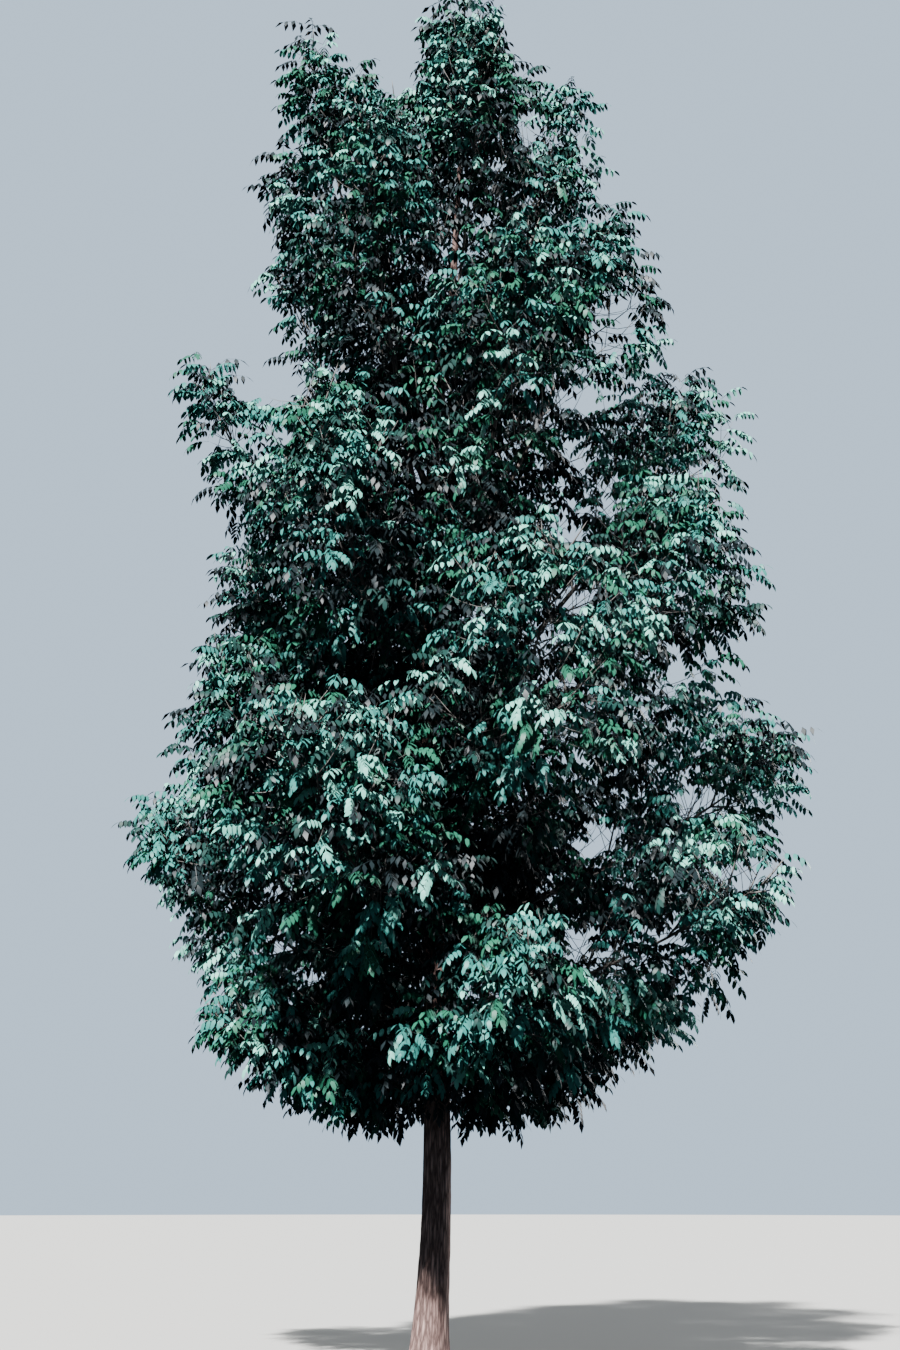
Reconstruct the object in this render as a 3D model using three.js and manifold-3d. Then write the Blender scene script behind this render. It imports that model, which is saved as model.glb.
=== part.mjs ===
// A young black ash, about 14 m tall, in full summer leaf, in millimetres with +Z up.
//
// The trunk stands on a flat cut at ground level, flares into its roots and runs up, a little bent, to
// the leader. Fourteen pairs of boughs leave it, each pair crossing the one below, as an ash's do. Every
// bough is one tapering limb that curves upwards and ends where it enters its mass of foliage. A mass is
// a stem that goes on along the bough's own curve, with twigs in crossed pairs and flat sprays of leaves
// on the twigs, round a dense core. The front of the tree faces -Y, and its broad side is +X.

import * as THREE from "three";
import { mergeVertices } from "three/addons/utils/BufferGeometryUtils.js";
import Module from "manifold-3d";

const wasm = await Module();
wasm.setup();

// Driving dimensions

const TREE_HEIGHT = 13900;
const BREAST_HEIGHT = 1300;
const BREAST_RADIUS = 135; // of the trunk at breast height
const TAPER_POWER = 0.9; // 1 would be a straight cone
const FLARE_RADIUS = 62; // what the root flare adds at the ground, on average
const FLARE_HEIGHT = 420; // over which that fades to a third
const ROOT_LOBES = 5;
const ROOT_LOBE_DEPTH = 0.4; // share of the flare that swells and sinks round the trunk
const TRUNK_TOP = 11750; // where the trunk enters the leader's foliage
const TRUNK_SIDES = 15;
const TRUNK_RINGS = 18;
const TRUNK_RING_POWER = 1.5; // crowds the rings towards the flare
const TRUNK_LINE_STEPS = 140; // in which the trunk's bent middle line is measured
const RUNNING_GAP = 0.3; // between any two pieces that meet

// The trunk's own bends: how far its middle lies from a plumb line, at each height
const TRUNK_SWAY = [
  { height: 0, x: 0, y: 0 },
  { height: 1330, x: 76, y: -20 },
  { height: 3200, x: 70, y: 15 },
  { height: 5600, x: 20, y: 40 },
  { height: 8500, x: 25, y: -15 },
  { height: 10700, x: 240, y: -40 },
  { height: TREE_HEIGHT, x: 360, y: 0 },
];

// How far the crown reaches from the trunk at each height: to its broad side (+X), its narrow side (-X),
// and to the front and the back
const CROWN_REACH = [
  { height: 3100, broad: 2560, narrow: 2020, depth: 2150 },
  { height: 4200, broad: 3430, narrow: 2560, depth: 2800 },
  { height: 5100, broad: 3600, narrow: 3100, depth: 3000 },
  { height: 5950, broad: 4250, narrow: 2100, depth: 3050 },
  { height: 7700, broad: 2800, narrow: 2050, depth: 2850 },
  { height: 9700, broad: 3600, narrow: 2600, depth: 2400 },
  { height: 10800, broad: 2000, narrow: 1750, depth: 2050 },
  { height: 12950, broad: 1800, narrow: 1450, depth: 1300 },
  { height: 13500, broad: 1500, narrow: 1300, depth: 1000 },
];

// How low the foliage may hang at each distance from the trunk
const SKIRT = [
  { reach: 0, height: 1800 },
  { reach: 1400, height: 2100 },
  { reach: 2400, height: 2850 },
  { reach: 2900, height: 3300 },
];

// Openings that show sky from the front: the middle of each, to the broad side and up, with its half-width
// and half-height, all on the upright plane through the trunk
const SKY_GAPS = [
  { side: -310, height: 13190, halfWidth: 280, halfHeight: 340 },
  { side: 1090, height: 12370, halfWidth: 210, halfHeight: 330 },
  { side: 1880, height: 10200, halfWidth: 310, halfHeight: 360 },
  { side: 1570, height: 9400, halfWidth: 350, halfHeight: 180 },
  { side: -1550, height: 9510, halfWidth: 430, halfHeight: 260 },
  { side: -1940, height: 8960, halfWidth: 560, halfHeight: 150 },
  { side: 1350, height: 7960, halfWidth: 260, halfHeight: 160 },
  { side: 1440, height: 7270, halfWidth: 320, halfHeight: 180 },
  { side: 1080, height: 6840, halfWidth: 220, halfHeight: 310 },
  { side: 1190, height: 6410, halfWidth: 270, halfHeight: 130 },
  { side: 1370, height: 5650, halfWidth: 290, halfHeight: 110 },
  { side: 1630, height: 4850, halfWidth: 210, halfHeight: 230 },
  { side: 2590, height: 5240, halfWidth: 250, halfHeight: 210 },
  { side: 2930, height: 4510, halfWidth: 420, halfHeight: 170 },
];
const FRONT_VIEW = new THREE.Vector3(200, -17600, 1600); // where they are seen from

// Each pair of boughs: where it leaves the trunk, and how high its two masses of foliage reach. Pairs lie
// across the view and along it by turns, so the first top is the broad side's or the front's.
const BOUGH_PAIRS = [
  { from: 2450, tops: [3100, 3000] },
  { from: 2700, tops: [3350, 3600] },
  { from: 3000, tops: [4200, 5100] },
  { from: 3400, tops: [5200, 5000] },
  { from: 3850, tops: [5950, 6400] },
  { from: 4350, tops: [6800, 7000] },
  { from: 4850, tops: [7800, 7800] },
  { from: 5350, tops: [8400, 8700] },
  { from: 5850, tops: [9850, 9250] },
  { from: 6350, tops: [10000, 10300] },
  { from: 6950, tops: [10850, 11250] },
  { from: 7550, tops: [11700, 11500] },
  { from: 8200, tops: [13150, 13100] },
  { from: 8900, tops: [12800, 13400] },
];
const SPARSE_MASSES = ["09_left"]; // thin sprays that the light comes through, with no dense core
const SPARSE_GIRTH = 0.62; // of what the mass would have if it were dense
const PAIR_TURN = 23; // degrees that a pair is turned off its plane, to one side and then the other

// How a bough curves: its middle control point, as shares of the way out and of the way up
const ELBOW_OUT = 0.56;
const ELBOW_UP = 0.36;
const BARE_SHARE = 0.2; // of a bough's curve that shows as a bare limb before the foliage
const BOUGH_RADIUS_PER_LENGTH = 0.0125; // at the trunk, for each millimetre of the bough's curve
const BOUGH_TO_TRUNK = 0.62; // the most that radius may be, as a share of the trunk's there
const BOUGH_END_SHARE = 0.62; // of that radius, where the bough enters its foliage
const BOUGH_SIDES = 6;
const BOUGH_RINGS = 3;

// The masses of foliage
const MASS_GIRTH = 0.43; // widest radius of a mass, as a share of how far its tip is from the trunk
const MASS_GIRTH_RANGE = [780, 1220];
const LEADER = { from: TRUNK_TOP, top: TREE_HEIGHT, girth: 600, seed: 7 };
const STEM_LINE_STEPS = 12; // in which distances from a mass's stem are measured

// A mass's half-width as shares of its girth and of its stem: where it starts, where it is full, and how
// its end draws in
const MASS_OUTLINE = { start: 0.7, fullAt: 0.25, endPower: 3.2, bluntness: 0.55 };

// The space that a mass keeps to: its gap from the middle line to its neighbours, how far past its
// half-width things may stand (as a share of its girth, and as a factor for sprays), and what it keeps
// from the limbs
const SPACE = { gap: 14, overhang: 0.2, sprayFactor: 1.25, limbClearance: 4 };

const STEM = { sides: 4, rings: 2, tipRadius: 11 };

// Twigs: their lean in degrees off the stem, low on it and at its tip, their length as shares of the
// mass's half-width, how much they lift and how far they are rolled off their crossed pairs. One that
// would leave the mass is cut back by a factor, a few times at most.
const TWIG = { pairs: 5, sides: 3, radius: 26, lean: [66, 32], reach: [0.6, 0.85], lift: 0.12, roll: 0.5 };
const TWIG_CUT = 0.8;
const TWIG_CUTS = 4;

// Sprays: length as a share of the mass's girth, the other sizes as shares of the length, where the
// outline is widest and thickest, and the sizes that are tried till one fits
const SPRAY = { length: 0.98, width: 0.62, thickness: 0.03, widestAt: 0.45, thickestAt: 0.22 };
const SPRAY_TRIES = [1, 0.8, 0.62];

// How sprays sit: their roots as shares of the twig, how side ones lean forwards and out, and how all of
// them droop and look up
const SIDE_ROOTS = [0.54, 0.7];
const END_ROOT = 0.93;
const SIDE_FORWARD = 0.5;
const SIDE_SPLAY = [0.8, 1.3];
const SIDE_DROOP = [0.1, 0.5];
const END_DROOP = [0.2, 0.6];
const LOOK_UP = 0.8;

// A mass's dense core: where it lies on the stem, its radius as a share of the mass's, and the lumps
// round it
const CORE = { from: 0.03, to: 0.93, girth: 0.43, sides: 6, rings: 4, lobes: 3, roughness: 0.3, twist: 9 };
const CORE_ENDS = { inset: 0.08, bluntness: 0.5 };

const LEAF_GREENS = [0x2f5a49, 0x38654f, 0x2b5144];
const BARK = 0xa08d80;
const UPPER_BARK = 0xb3a596;

const UP = new THREE.Vector3(0, 0, 1);
const radians = THREE.MathUtils.degToRad;
const mix = THREE.MathUtils.lerp;

// A repeatable stream of random numbers from 0 to 1.
function randomStream(seed) {
  let state = seed >>> 0;
  return () => {
    state = (state + 0x6d2b79f5) >>> 0;
    let t = state;
    t = Math.imul(t ^ (t >>> 15), t | 1);
    t ^= t + Math.imul(t ^ (t >>> 7), t | 61);
    return ((t ^ (t >>> 14)) >>> 0) / 4294967296;
  };
}

// A value between the two rows of a table whose entries in one column lie round a number.
function between(rows, column, number, key) {
  const last = rows.length - 1;
  if (number <= rows[0][column]) return rows[0][key];
  if (number >= rows[last][column]) return rows[last][key];
  const i = rows.findIndex((row) => row[column] > number);
  const [low, high] = [rows[i - 1], rows[i]];
  const share = (number - low[column]) / (high[column] - low[column]);
  return mix(low[key], high[key], share);
}

// Solids

// A closed solid from any three.js geometry.
function solidFrom(geometry) {
  const bare = geometry.clone();
  bare.deleteAttribute("normal");
  bare.deleteAttribute("uv");
  const merged = mergeVertices(bare, 1e-3);
  return new wasm.Manifold(
    new wasm.Mesh({
      numProp: 3,
      vertProperties: new Float32Array(merged.attributes.position.array),
      triVerts: new Uint32Array(merged.index.array),
    }),
  );
}

// The largest piece of a solid: cut-off scraps are dropped and sealed hollows are filled.
function mainPiece(solid) {
  return solid.decompose().reduce((a, b) => (a.volume() > b.volume() ? a : b));
}

function geometryFrom(solid) {
  const mesh = solid.getMesh();
  const geometry = new THREE.BufferGeometry();
  geometry.setAttribute(
    "position",
    new THREE.BufferAttribute(new Float32Array(mesh.vertProperties), 3),
  );
  geometry.setIndex(new THREE.BufferAttribute(new Uint32Array(mesh.triVerts), 1));
  geometry.computeVertexNormals();
  return geometry;
}

// A tapering limb: a cylinder whose rings are moved onto a curve. Its radius may change along it and
// round it.
function limbSolid(curve, radiusAt, sides, rings) {
  const geometry = new THREE.CylinderGeometry(1, 1, 1, sides, rings);
  const frames = curve.computeFrenetFrames(rings, false);
  const position = geometry.getAttribute("position");
  const vertex = new THREE.Vector3();
  for (let i = 0; i < position.count; i++) {
    vertex.fromBufferAttribute(position, i);
    const ring = Math.round((0.5 - vertex.y) * rings);
    const along = ring / rings;
    const radius = radiusAt(along, Math.atan2(vertex.z, vertex.x));
    const moved = curve
      .getPointAt(along)
      .addScaledVector(frames.normals[ring], vertex.x * radius)
      .addScaledVector(frames.binormals[ring], vertex.z * radius);
    position.setXYZ(i, moved.x, moved.y, moved.z);
  }
  return solidFrom(geometry);
}

// A straight three-sided twig that runs out to a point.
function twigSolid(foot, tip) {
  const length = foot.distanceTo(tip);
  const geometry = new THREE.ConeGeometry(TWIG.radius, length, TWIG.sides, 1);
  const turn = new THREE.Quaternion().setFromUnitVectors(
    new THREE.Vector3(0, 1, 0),
    tip.clone().sub(foot).normalize(),
  );
  geometry.applyQuaternion(turn);
  geometry.translate(...foot.clone().lerp(tip, 0.5));
  return solidFrom(geometry);
}

// A flat spray: eight faces, pointed at both ends, widest before its middle and thickest near its root.
function spraySolid(spray, length) {
  const width = length * SPRAY.width;
  const thickness = length * SPRAY.thickness;
  const geometry = new THREE.OctahedronGeometry(1);
  const position = geometry.getAttribute("position");
  const normal = new THREE.Vector3().crossVectors(spray.along, spray.across).normalize();
  const vertex = new THREE.Vector3();
  const moved = new THREE.Vector3();
  for (let i = 0; i < position.count; i++) {
    vertex.fromBufferAttribute(position, i).round();
    let reach = vertex.x > 0 ? length : 0;
    if (vertex.y !== 0) reach = SPRAY.widestAt * length;
    if (vertex.z !== 0) reach = SPRAY.thickestAt * length;
    moved
      .copy(spray.root)
      .addScaledVector(spray.along, reach)
      .addScaledVector(spray.across, (vertex.y * width) / 2)
      .addScaledVector(normal, (vertex.z * thickness) / 2);
    position.setXYZ(i, moved.x, moved.y, moved.z);
  }
  return solidFrom(geometry);
}

// The limbs

// The trunk's middle at a height.
const trunkLine = new THREE.CatmullRomCurve3(
  TRUNK_SWAY.map(({ height, x, y }) => new THREE.Vector3(x, y, height)),
);
const trunkSteps = trunkLine.getPoints(TRUNK_LINE_STEPS);
function trunkMiddle(height) {
  const i = Math.max(1, trunkSteps.findIndex((point) => point.z >= height));
  const [low, high] = [trunkSteps[i - 1], trunkSteps[i]];
  return low.clone().lerp(high, (height - low.z) / (high.z - low.z));
}

// The trunk's radius without its root flare.
function trunkRadius(height) {
  const share = (TREE_HEIGHT - height) / (TREE_HEIGHT - BREAST_HEIGHT);
  return BREAST_RADIUS * share ** TAPER_POWER;
}

// What the root flare adds at a height, on the side that faces an angle.
function rootFlare(height, angle) {
  const fade = Math.exp(-height / FLARE_HEIGHT);
  return FLARE_RADIUS * fade * (1 + ROOT_LOBE_DEPTH * fade * Math.cos(ROOT_LOBES * angle));
}

// The trunk, from the flat cut at the ground to where it enters the leader's foliage, grown outwards by a
// clearance.
function trunkSolid(clearance) {
  const geometry = new THREE.CylinderGeometry(1, 1, 1, TRUNK_SIDES, TRUNK_RINGS);
  const position = geometry.getAttribute("position");
  for (let i = 0; i < position.count; i++) {
    const share = position.getY(i) + 0.5;
    const height = (TRUNK_TOP + clearance) * share ** TRUNK_RING_POWER;
    const [x, y] = [position.getX(i), -position.getZ(i)];
    const swell = rootFlare(height, Math.atan2(y, x));
    const radius = trunkRadius(height) + swell + clearance;
    const middle = trunkMiddle(height);
    position.setXYZ(i, middle.x + x * radius, middle.y + y * radius, height);
  }
  return solidFrom(geometry);
}

// How far the crown reaches in a direction at a height.
function crownReach(azimuth, height) {
  const side = Math.cos(azimuth) > 0 ? "broad" : "narrow";
  const across = between(CROWN_REACH, "height", height, side);
  const depth = between(CROWN_REACH, "height", height, "depth");
  return 1 / Math.hypot(Math.cos(azimuth) / across, Math.sin(azimuth) / depth);
}

// The whole curve of one bough, from the trunk's middle to the tip of its foliage.
function boughCurve(from, azimuth, top) {
  const reach = crownReach(azimuth, top);
  const out = new THREE.Vector3(Math.cos(azimuth), Math.sin(azimuth), 0);
  const foot = trunkMiddle(from);
  const elbow = foot
    .clone()
    .addScaledVector(out, reach * ELBOW_OUT)
    .addScaledVector(UP, (top - from) * ELBOW_UP);
  const tip = out.clone().multiplyScalar(reach).setZ(top);
  return new THREE.QuadraticBezierCurve3(foot, elbow, tip);
}

// The part of a bough's curve between two shares of its length.
function stretch(curve, start, end) {
  const [t0, t1] = [curve.getUtoTmapping(start), curve.getUtoTmapping(end)];
  const low = curve.v0.clone().lerp(curve.v1, t0);
  const high = curve.v1.clone().lerp(curve.v2, t0);
  return new THREE.QuadraticBezierCurve3(
    curve.getPoint(t0),
    low.lerp(high, t1),
    curve.getPoint(t1),
  );
}

const SIDE_NAMES = [
  ["right", "left"],
  ["front", "back"],
];

// The boughs, in pairs up the trunk.
function planBoughs() {
  const boughs = [];
  BOUGH_PAIRS.forEach(({ from, tops }, pair) => {
    const plane = pair % 2;
    const turn = Math.floor(pair / 2) % 2 ? -PAIR_TURN : PAIR_TURN;
    tops.forEach((top, side) => {
      const facing = plane ? -90 + 180 * side : 180 * side;
      const azimuth = radians(facing + turn);
      const whole = boughCurve(from, azimuth, top);
      const length = whole.getLength();
      const footRadius = Math.min(
        length * BOUGH_RADIUS_PER_LENGTH,
        trunkRadius(from) * BOUGH_TO_TRUNK,
      );
      const name = `${String(pair + 1).padStart(2, "0")}_${SIDE_NAMES[plane][side]}`;
      const sparse = SPARSE_MASSES.includes(name);
      const girth = THREE.MathUtils.clamp(
        Math.hypot(whole.v2.x, whole.v2.y) * MASS_GIRTH,
        ...MASS_GIRTH_RANGE,
      );
      boughs.push({
        name,
        seed: 100 + pair * 10 + side,
        whole,
        length,
        footRadius,
        endRadius: footRadius * BOUGH_END_SHARE,
        girth: girth * (sparse ? SPARSE_GIRTH : 1),
        sparse,
      });
    });
  });
  return boughs;
}

// One bough, cut to sit against the trunk.
function boughSolid(bough, trunkSpace) {
  const bare = stretch(bough.whole, 0, BARE_SHARE);
  const radiusAt = (share) => mix(bough.footRadius, bough.endRadius, share);
  return mainPiece(limbSolid(bare, radiusAt, BOUGH_SIDES, BOUGH_RINGS).subtract(trunkSpace));
}

// The masses of foliage

// A mass's stem starts a hair past the limb that carries it, and its last spray ends at the tip.
function planMass(name, seed, curve, startRadius, girth, sparse) {
  const line = curve.getPoints(STEM_LINE_STEPS);
  return { name, seed, curve, line, length: curve.getLength(), startRadius, girth, sparse };
}

// The mass at the top of the trunk, whose stem carries the trunk's own line on.
function planLeader() {
  const foot = trunkMiddle(LEADER.from);
  const tip = trunkMiddle(LEADER.top);
  const rise = tip.z - foot.z;
  const below = trunkMiddle(LEADER.from - rise / 4);
  const elbow = foot.clone().addScaledVector(foot.clone().sub(below).normalize(), rise / 2);
  const curve = new THREE.QuadraticBezierCurve3(foot, elbow, tip);
  return planMass("foliage_leader", LEADER.seed, curve, trunkRadius(LEADER.from), LEADER.girth, false);
}

// The half-width of a mass at a share of its stem: full low down, and drawn to a point.
function massWidth(mass, share) {
  const opening = mix(MASS_OUTLINE.start, 1, Math.min(1, share / MASS_OUTLINE.fullAt));
  const closing = Math.max(0, 1 - share ** MASS_OUTLINE.endPower) ** MASS_OUTLINE.bluntness;
  return mass.girth * opening * closing;
}

const nearest = new THREE.Vector3();
const segment = new THREE.Line3();

// How far a point lies from a mass's stem line, and where along it.
function fromStem(mass, point) {
  let [best, share] = [Infinity, 0];
  const pieces = mass.line.length - 1;
  for (let i = 0; i < pieces; i++) {
    segment.set(mass.line[i], mass.line[i + 1]);
    const t = segment.closestPointToPointParameter(point, true);
    segment.at(t, nearest);
    const distance = nearest.distanceTo(point);
    if (distance < best) [best, share] = [distance, (i + t) / pieces];
  }
  return { distance: best, share };
}

// Whether a point lies in one of the openings, which all widen away from where they are seen.
function inGap(point) {
  const share = FRONT_VIEW.y / (FRONT_VIEW.y - point.y);
  const side = mix(FRONT_VIEW.x, point.x, share);
  const height = mix(FRONT_VIEW.z, point.z, share);
  return SKY_GAPS.some(
    (gap) => Math.hypot((side - gap.side) / gap.halfWidth, (height - gap.height) / gap.halfHeight) < 1,
  );
}

// Whether a point is inside a mass's own space: between the crown's lower edge and the tree's top, outside
// the openings, within the mass's width, and nearer to it than to any other mass.
function inSpace(mass, others, point, factor) {
  const lowest = between(SKIRT, "reach", Math.hypot(point.x, point.y), "height");
  if (point.z < lowest || point.z > TREE_HEIGHT || inGap(point)) return false;
  const { distance, share } = fromStem(mass, point);
  if (distance > massWidth(mass, share) * factor + SPACE.overhang * mass.girth) return false;
  const own = distance - mass.girth + 2 * SPACE.gap;
  return others.every((other) => fromStem(other, point).distance - other.girth > own);
}

// A twig's direction and length at one place on the stem, cut back till its tip is inside the mass.
function planTwig(mass, others, frames, ring, roll, reach) {
  const share = ring / (2 * TWIG.pairs);
  const foot = mass.curve.getPointAt(share);
  const lean = radians(mix(...TWIG.lean, share));
  const out = frames.normals[ring]
    .clone()
    .multiplyScalar(Math.cos(roll))
    .addScaledVector(frames.binormals[ring], Math.sin(roll));
  const along = frames.tangents[ring]
    .clone()
    .multiplyScalar(Math.cos(lean))
    .addScaledVector(out, Math.sin(lean))
    .addScaledVector(UP, TWIG.lift)
    .normalize();
  let length = massWidth(mass, share) * reach;
  let tip = foot.clone().addScaledVector(along, length);
  for (let cuts = 0; cuts < TWIG_CUTS && !inSpace(mass, others, tip, 1); cuts++) {
    length *= TWIG_CUT;
    tip = foot.clone().addScaledVector(along, length);
  }
  return { foot, tip, along, out };
}

// The twigs of a mass, in crossed pairs up its stem.
function planTwigs(mass, others, random) {
  const frames = mass.curve.computeFrenetFrames(TWIG.pairs * 2, false);
  const twigs = [];
  const firstRoll = random() * Math.PI;
  for (let pair = 0; pair < TWIG.pairs; pair++) {
    for (const side of [0, 1]) {
      const crossed = firstRoll + (pair + 2 * side) * (Math.PI / 2);
      const roll = crossed + (random() - 0.5) * TWIG.roll;
      const reach = mix(...TWIG.reach, random());
      twigs.push(planTwig(mass, others, frames, 2 * pair + 1, roll, reach));
    }
  }
  return twigs;
}

// A spray's place: its root, which way it points, and how its blade lies so that its face looks up and out.
function planSpray(root, along, out, droop) {
  const pointing = along.clone().addScaledVector(UP, -droop).normalize();
  const facing = out.clone().addScaledVector(UP, LOOK_UP);
  const across = new THREE.Vector3().crossVectors(pointing, facing).normalize();
  return { root, along: pointing, across };
}

// The sprays of a twig: two beside it, and one that carries it on.
function planSprays(twig, random) {
  const side = new THREE.Vector3().crossVectors(twig.along, twig.out).normalize();
  const sprays = [-1, 1].map((sign, i) => {
    const root = twig.foot.clone().lerp(twig.tip, SIDE_ROOTS[i]);
    const along = twig.along
      .clone()
      .multiplyScalar(SIDE_FORWARD)
      .addScaledVector(side, sign * mix(...SIDE_SPLAY, random()))
      .normalize();
    return planSpray(root, along, twig.out, mix(...SIDE_DROOP, random()));
  });
  const end = twig.foot.clone().lerp(twig.tip, END_ROOT);
  sprays.push(planSpray(end, twig.along, twig.out, mix(...END_DROOP, random())));
  return sprays;
}

// The points of a spray's outline that are tested against the space of its mass, as shares of its length
// and width: its two corners, the middles of its outer edges, and its tip.
const SPRAY_TESTS = [
  [SPRAY.widestAt, -0.5],
  [SPRAY.widestAt, 0.5],
  [(SPRAY.widestAt + 1) / 2, -0.25],
  [(SPRAY.widestAt + 1) / 2, 0.25],
  [1, 0],
];

// The spray at the largest size that keeps to the mass's space and clear of what is taken already, or null.
function fittedSpray(mass, others, spray, taken) {
  for (const scale of SPRAY_TRIES) {
    const length = mass.girth * SPRAY.length * scale;
    const width = length * SPRAY.width;
    const fits = SPRAY_TESTS.every(([reach, side]) => {
      const point = spray.root
        .clone()
        .addScaledVector(spray.along, reach * length)
        .addScaledVector(spray.across, side * width);
      return inSpace(mass, others, point, SPACE.sprayFactor);
    });
    if (!fits) continue;
    const solid = spraySolid(spray, length);
    if (taken.every((other) => solid.intersect(other).isEmpty())) return solid;
  }
  return null;
}

// The spray that carries the stem itself on to the mass's tip.
function tipSpray(mass, start) {
  const root = mass.curve.getPointAt(start);
  const along = mass.curve.getPointAt(1).sub(root);
  const length = along.length();
  along.normalize();
  const across = new THREE.Vector3(Math.cos(mass.seed), Math.sin(mass.seed), 0);
  across.addScaledVector(along, -across.dot(along)).normalize();
  return spraySolid({ root, along, across }, length);
}

// How far a mass's space reaches all round a point of its stem.
function clearWidth(mass, others, point) {
  const rooms = others.map((other) => fromStem(other, point).distance + mass.girth - other.girth);
  return Math.min(...rooms) / 2 - SPACE.gap;
}

// The dense middle of a mass, which follows its stem.
function coreSolid(mass, others) {
  const line = stretch(mass.curve, CORE.from, CORE.to);
  const radiusAt = (share, angle) => {
    const onStem = mix(CORE.from, CORE.to, share);
    const inside = mix(CORE_ENDS.inset, 1 - CORE_ENDS.inset, share);
    const rounded = Math.sin(Math.PI * inside) ** CORE_ENDS.bluntness;
    const lobe = Math.sin(CORE.lobes * angle + CORE.twist * share + mass.seed);
    const radius = massWidth(mass, onStem) * CORE.girth * rounded * (1 + CORE.roughness * lobe);
    return Math.min(radius, clearWidth(mass, others, line.getPointAt(share)));
  };
  return limbSolid(line, radiusAt, CORE.sides, CORE.rings);
}

// One mass: its stem, core, twigs and sprays, fused.
function massSolid(mass, others, limbs, trunkSpace) {
  const random = randomStream(mass.seed);
  const tipRoot = 1 - (SPRAY.length * mass.girth) / mass.length;
  const stemEnd = mix(tipRoot, 1, SPRAY.thickestAt / 2);
  const stemRadius = (share) => mix(mass.startRadius, STEM.tipRadius, share);
  const sprays = [tipSpray(mass, tipRoot)];
  const pieces = [limbSolid(stretch(mass.curve, 0, stemEnd), stemRadius, STEM.sides, STEM.rings)];
  if (!mass.sparse) pieces.push(coreSolid(mass, others).subtract(limbs));
  for (const twig of planTwigs(mass, others, random)) {
    const wood = twigSolid(twig.foot, twig.tip);
    if (!wood.intersect(limbs).isEmpty()) continue;
    pieces.push(wood);
    for (const spray of planSprays(twig, random)) {
      const solid = fittedSpray(mass, others, spray, [limbs, ...sprays]);
      if (solid) sprays.push(solid);
    }
  }
  return mainPiece(wasm.Manifold.union([...pieces, ...sprays]).subtract(trunkSpace));
}

// The tree

function namedMesh(name, solid, colour) {
  const material = new THREE.MeshStandardMaterial({ color: colour, roughness: 0.85, metalness: 0 });
  const mesh = new THREE.Mesh(geometryFrom(solid), material);
  mesh.name = name;
  return mesh;
}

function buildTree() {
  const tree = new THREE.Group();
  tree.name = "black_ash";
  tree.add(namedMesh("trunk", trunkSolid(0), BARK));

  const trunkSpace = trunkSolid(RUNNING_GAP);
  const boughs = planBoughs();
  const limbSolids = [trunkSolid(SPACE.limbClearance)];
  for (const bough of boughs) {
    tree.add(namedMesh(`bough_${bough.name}`, boughSolid(bough, trunkSpace), UPPER_BARK));
    const space = stretch(bough.whole, 0, BARE_SHARE - SPACE.limbClearance / bough.length);
    const radiusAt = (share) => mix(bough.footRadius, bough.endRadius, share) + SPACE.limbClearance;
    limbSolids.push(limbSolid(space, radiusAt, BOUGH_SIDES, BOUGH_RINGS));
  }
  const limbs = wasm.Manifold.union(limbSolids);

  const masses = boughs.map((bough) =>
    planMass(
      `foliage_${bough.name}`,
      bough.seed,
      stretch(bough.whole, BARE_SHARE + RUNNING_GAP / bough.length, 1),
      bough.endRadius,
      bough.girth,
      bough.sparse,
    ),
  );
  masses.push(planLeader());

  masses.forEach((mass, i) => {
    const others = masses.filter((other) => other !== mass);
    const solid = massSolid(mass, others, limbs, trunkSpace);
    tree.add(namedMesh(mass.name, solid, LEAF_GREENS[i % LEAF_GREENS.length]));
  });
  return tree;
}

export default buildTree();
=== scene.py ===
"""A young black ash in full summer leaf, about 14 m tall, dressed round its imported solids.

All sizes are in metres, +Z is up, the tree's front faces -Y and its broad side is +X. The trunk, the boughs
and the masses of foliage are planned by the same rule as the solids. Each mass's stem and crossed pairs of
twigs are then carried on to finer twigs and to shoots, and the shoots bear pairs of compound leaves.
"""

import logging
import math
from collections.abc import Iterable, Iterator
from dataclasses import dataclass, fields
from enum import Enum
from functools import cached_property

import bpy
import numpy as np
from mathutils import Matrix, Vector

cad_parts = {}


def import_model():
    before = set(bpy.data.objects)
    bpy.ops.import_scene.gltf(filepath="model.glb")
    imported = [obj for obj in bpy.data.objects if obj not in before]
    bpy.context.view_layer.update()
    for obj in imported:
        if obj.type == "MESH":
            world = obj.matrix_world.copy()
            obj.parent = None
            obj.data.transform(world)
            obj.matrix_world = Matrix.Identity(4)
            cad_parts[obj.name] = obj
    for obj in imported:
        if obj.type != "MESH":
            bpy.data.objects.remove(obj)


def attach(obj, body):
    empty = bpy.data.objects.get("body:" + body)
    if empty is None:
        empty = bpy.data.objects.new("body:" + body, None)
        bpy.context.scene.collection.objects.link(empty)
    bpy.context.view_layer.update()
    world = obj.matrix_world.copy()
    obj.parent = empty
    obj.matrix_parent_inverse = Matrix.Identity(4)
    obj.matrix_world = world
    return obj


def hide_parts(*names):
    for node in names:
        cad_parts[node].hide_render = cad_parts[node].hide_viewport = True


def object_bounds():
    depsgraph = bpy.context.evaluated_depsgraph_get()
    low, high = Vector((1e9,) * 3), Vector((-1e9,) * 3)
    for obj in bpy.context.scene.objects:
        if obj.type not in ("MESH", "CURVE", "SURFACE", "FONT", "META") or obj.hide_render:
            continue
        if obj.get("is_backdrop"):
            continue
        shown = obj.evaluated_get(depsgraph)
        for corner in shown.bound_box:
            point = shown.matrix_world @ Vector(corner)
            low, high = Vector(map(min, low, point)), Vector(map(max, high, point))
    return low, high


Span = tuple[float, float]  # a first and a last value, or a low and a high one
Triple = tuple[float, float, float]
Row = tuple[float, ...]
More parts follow.
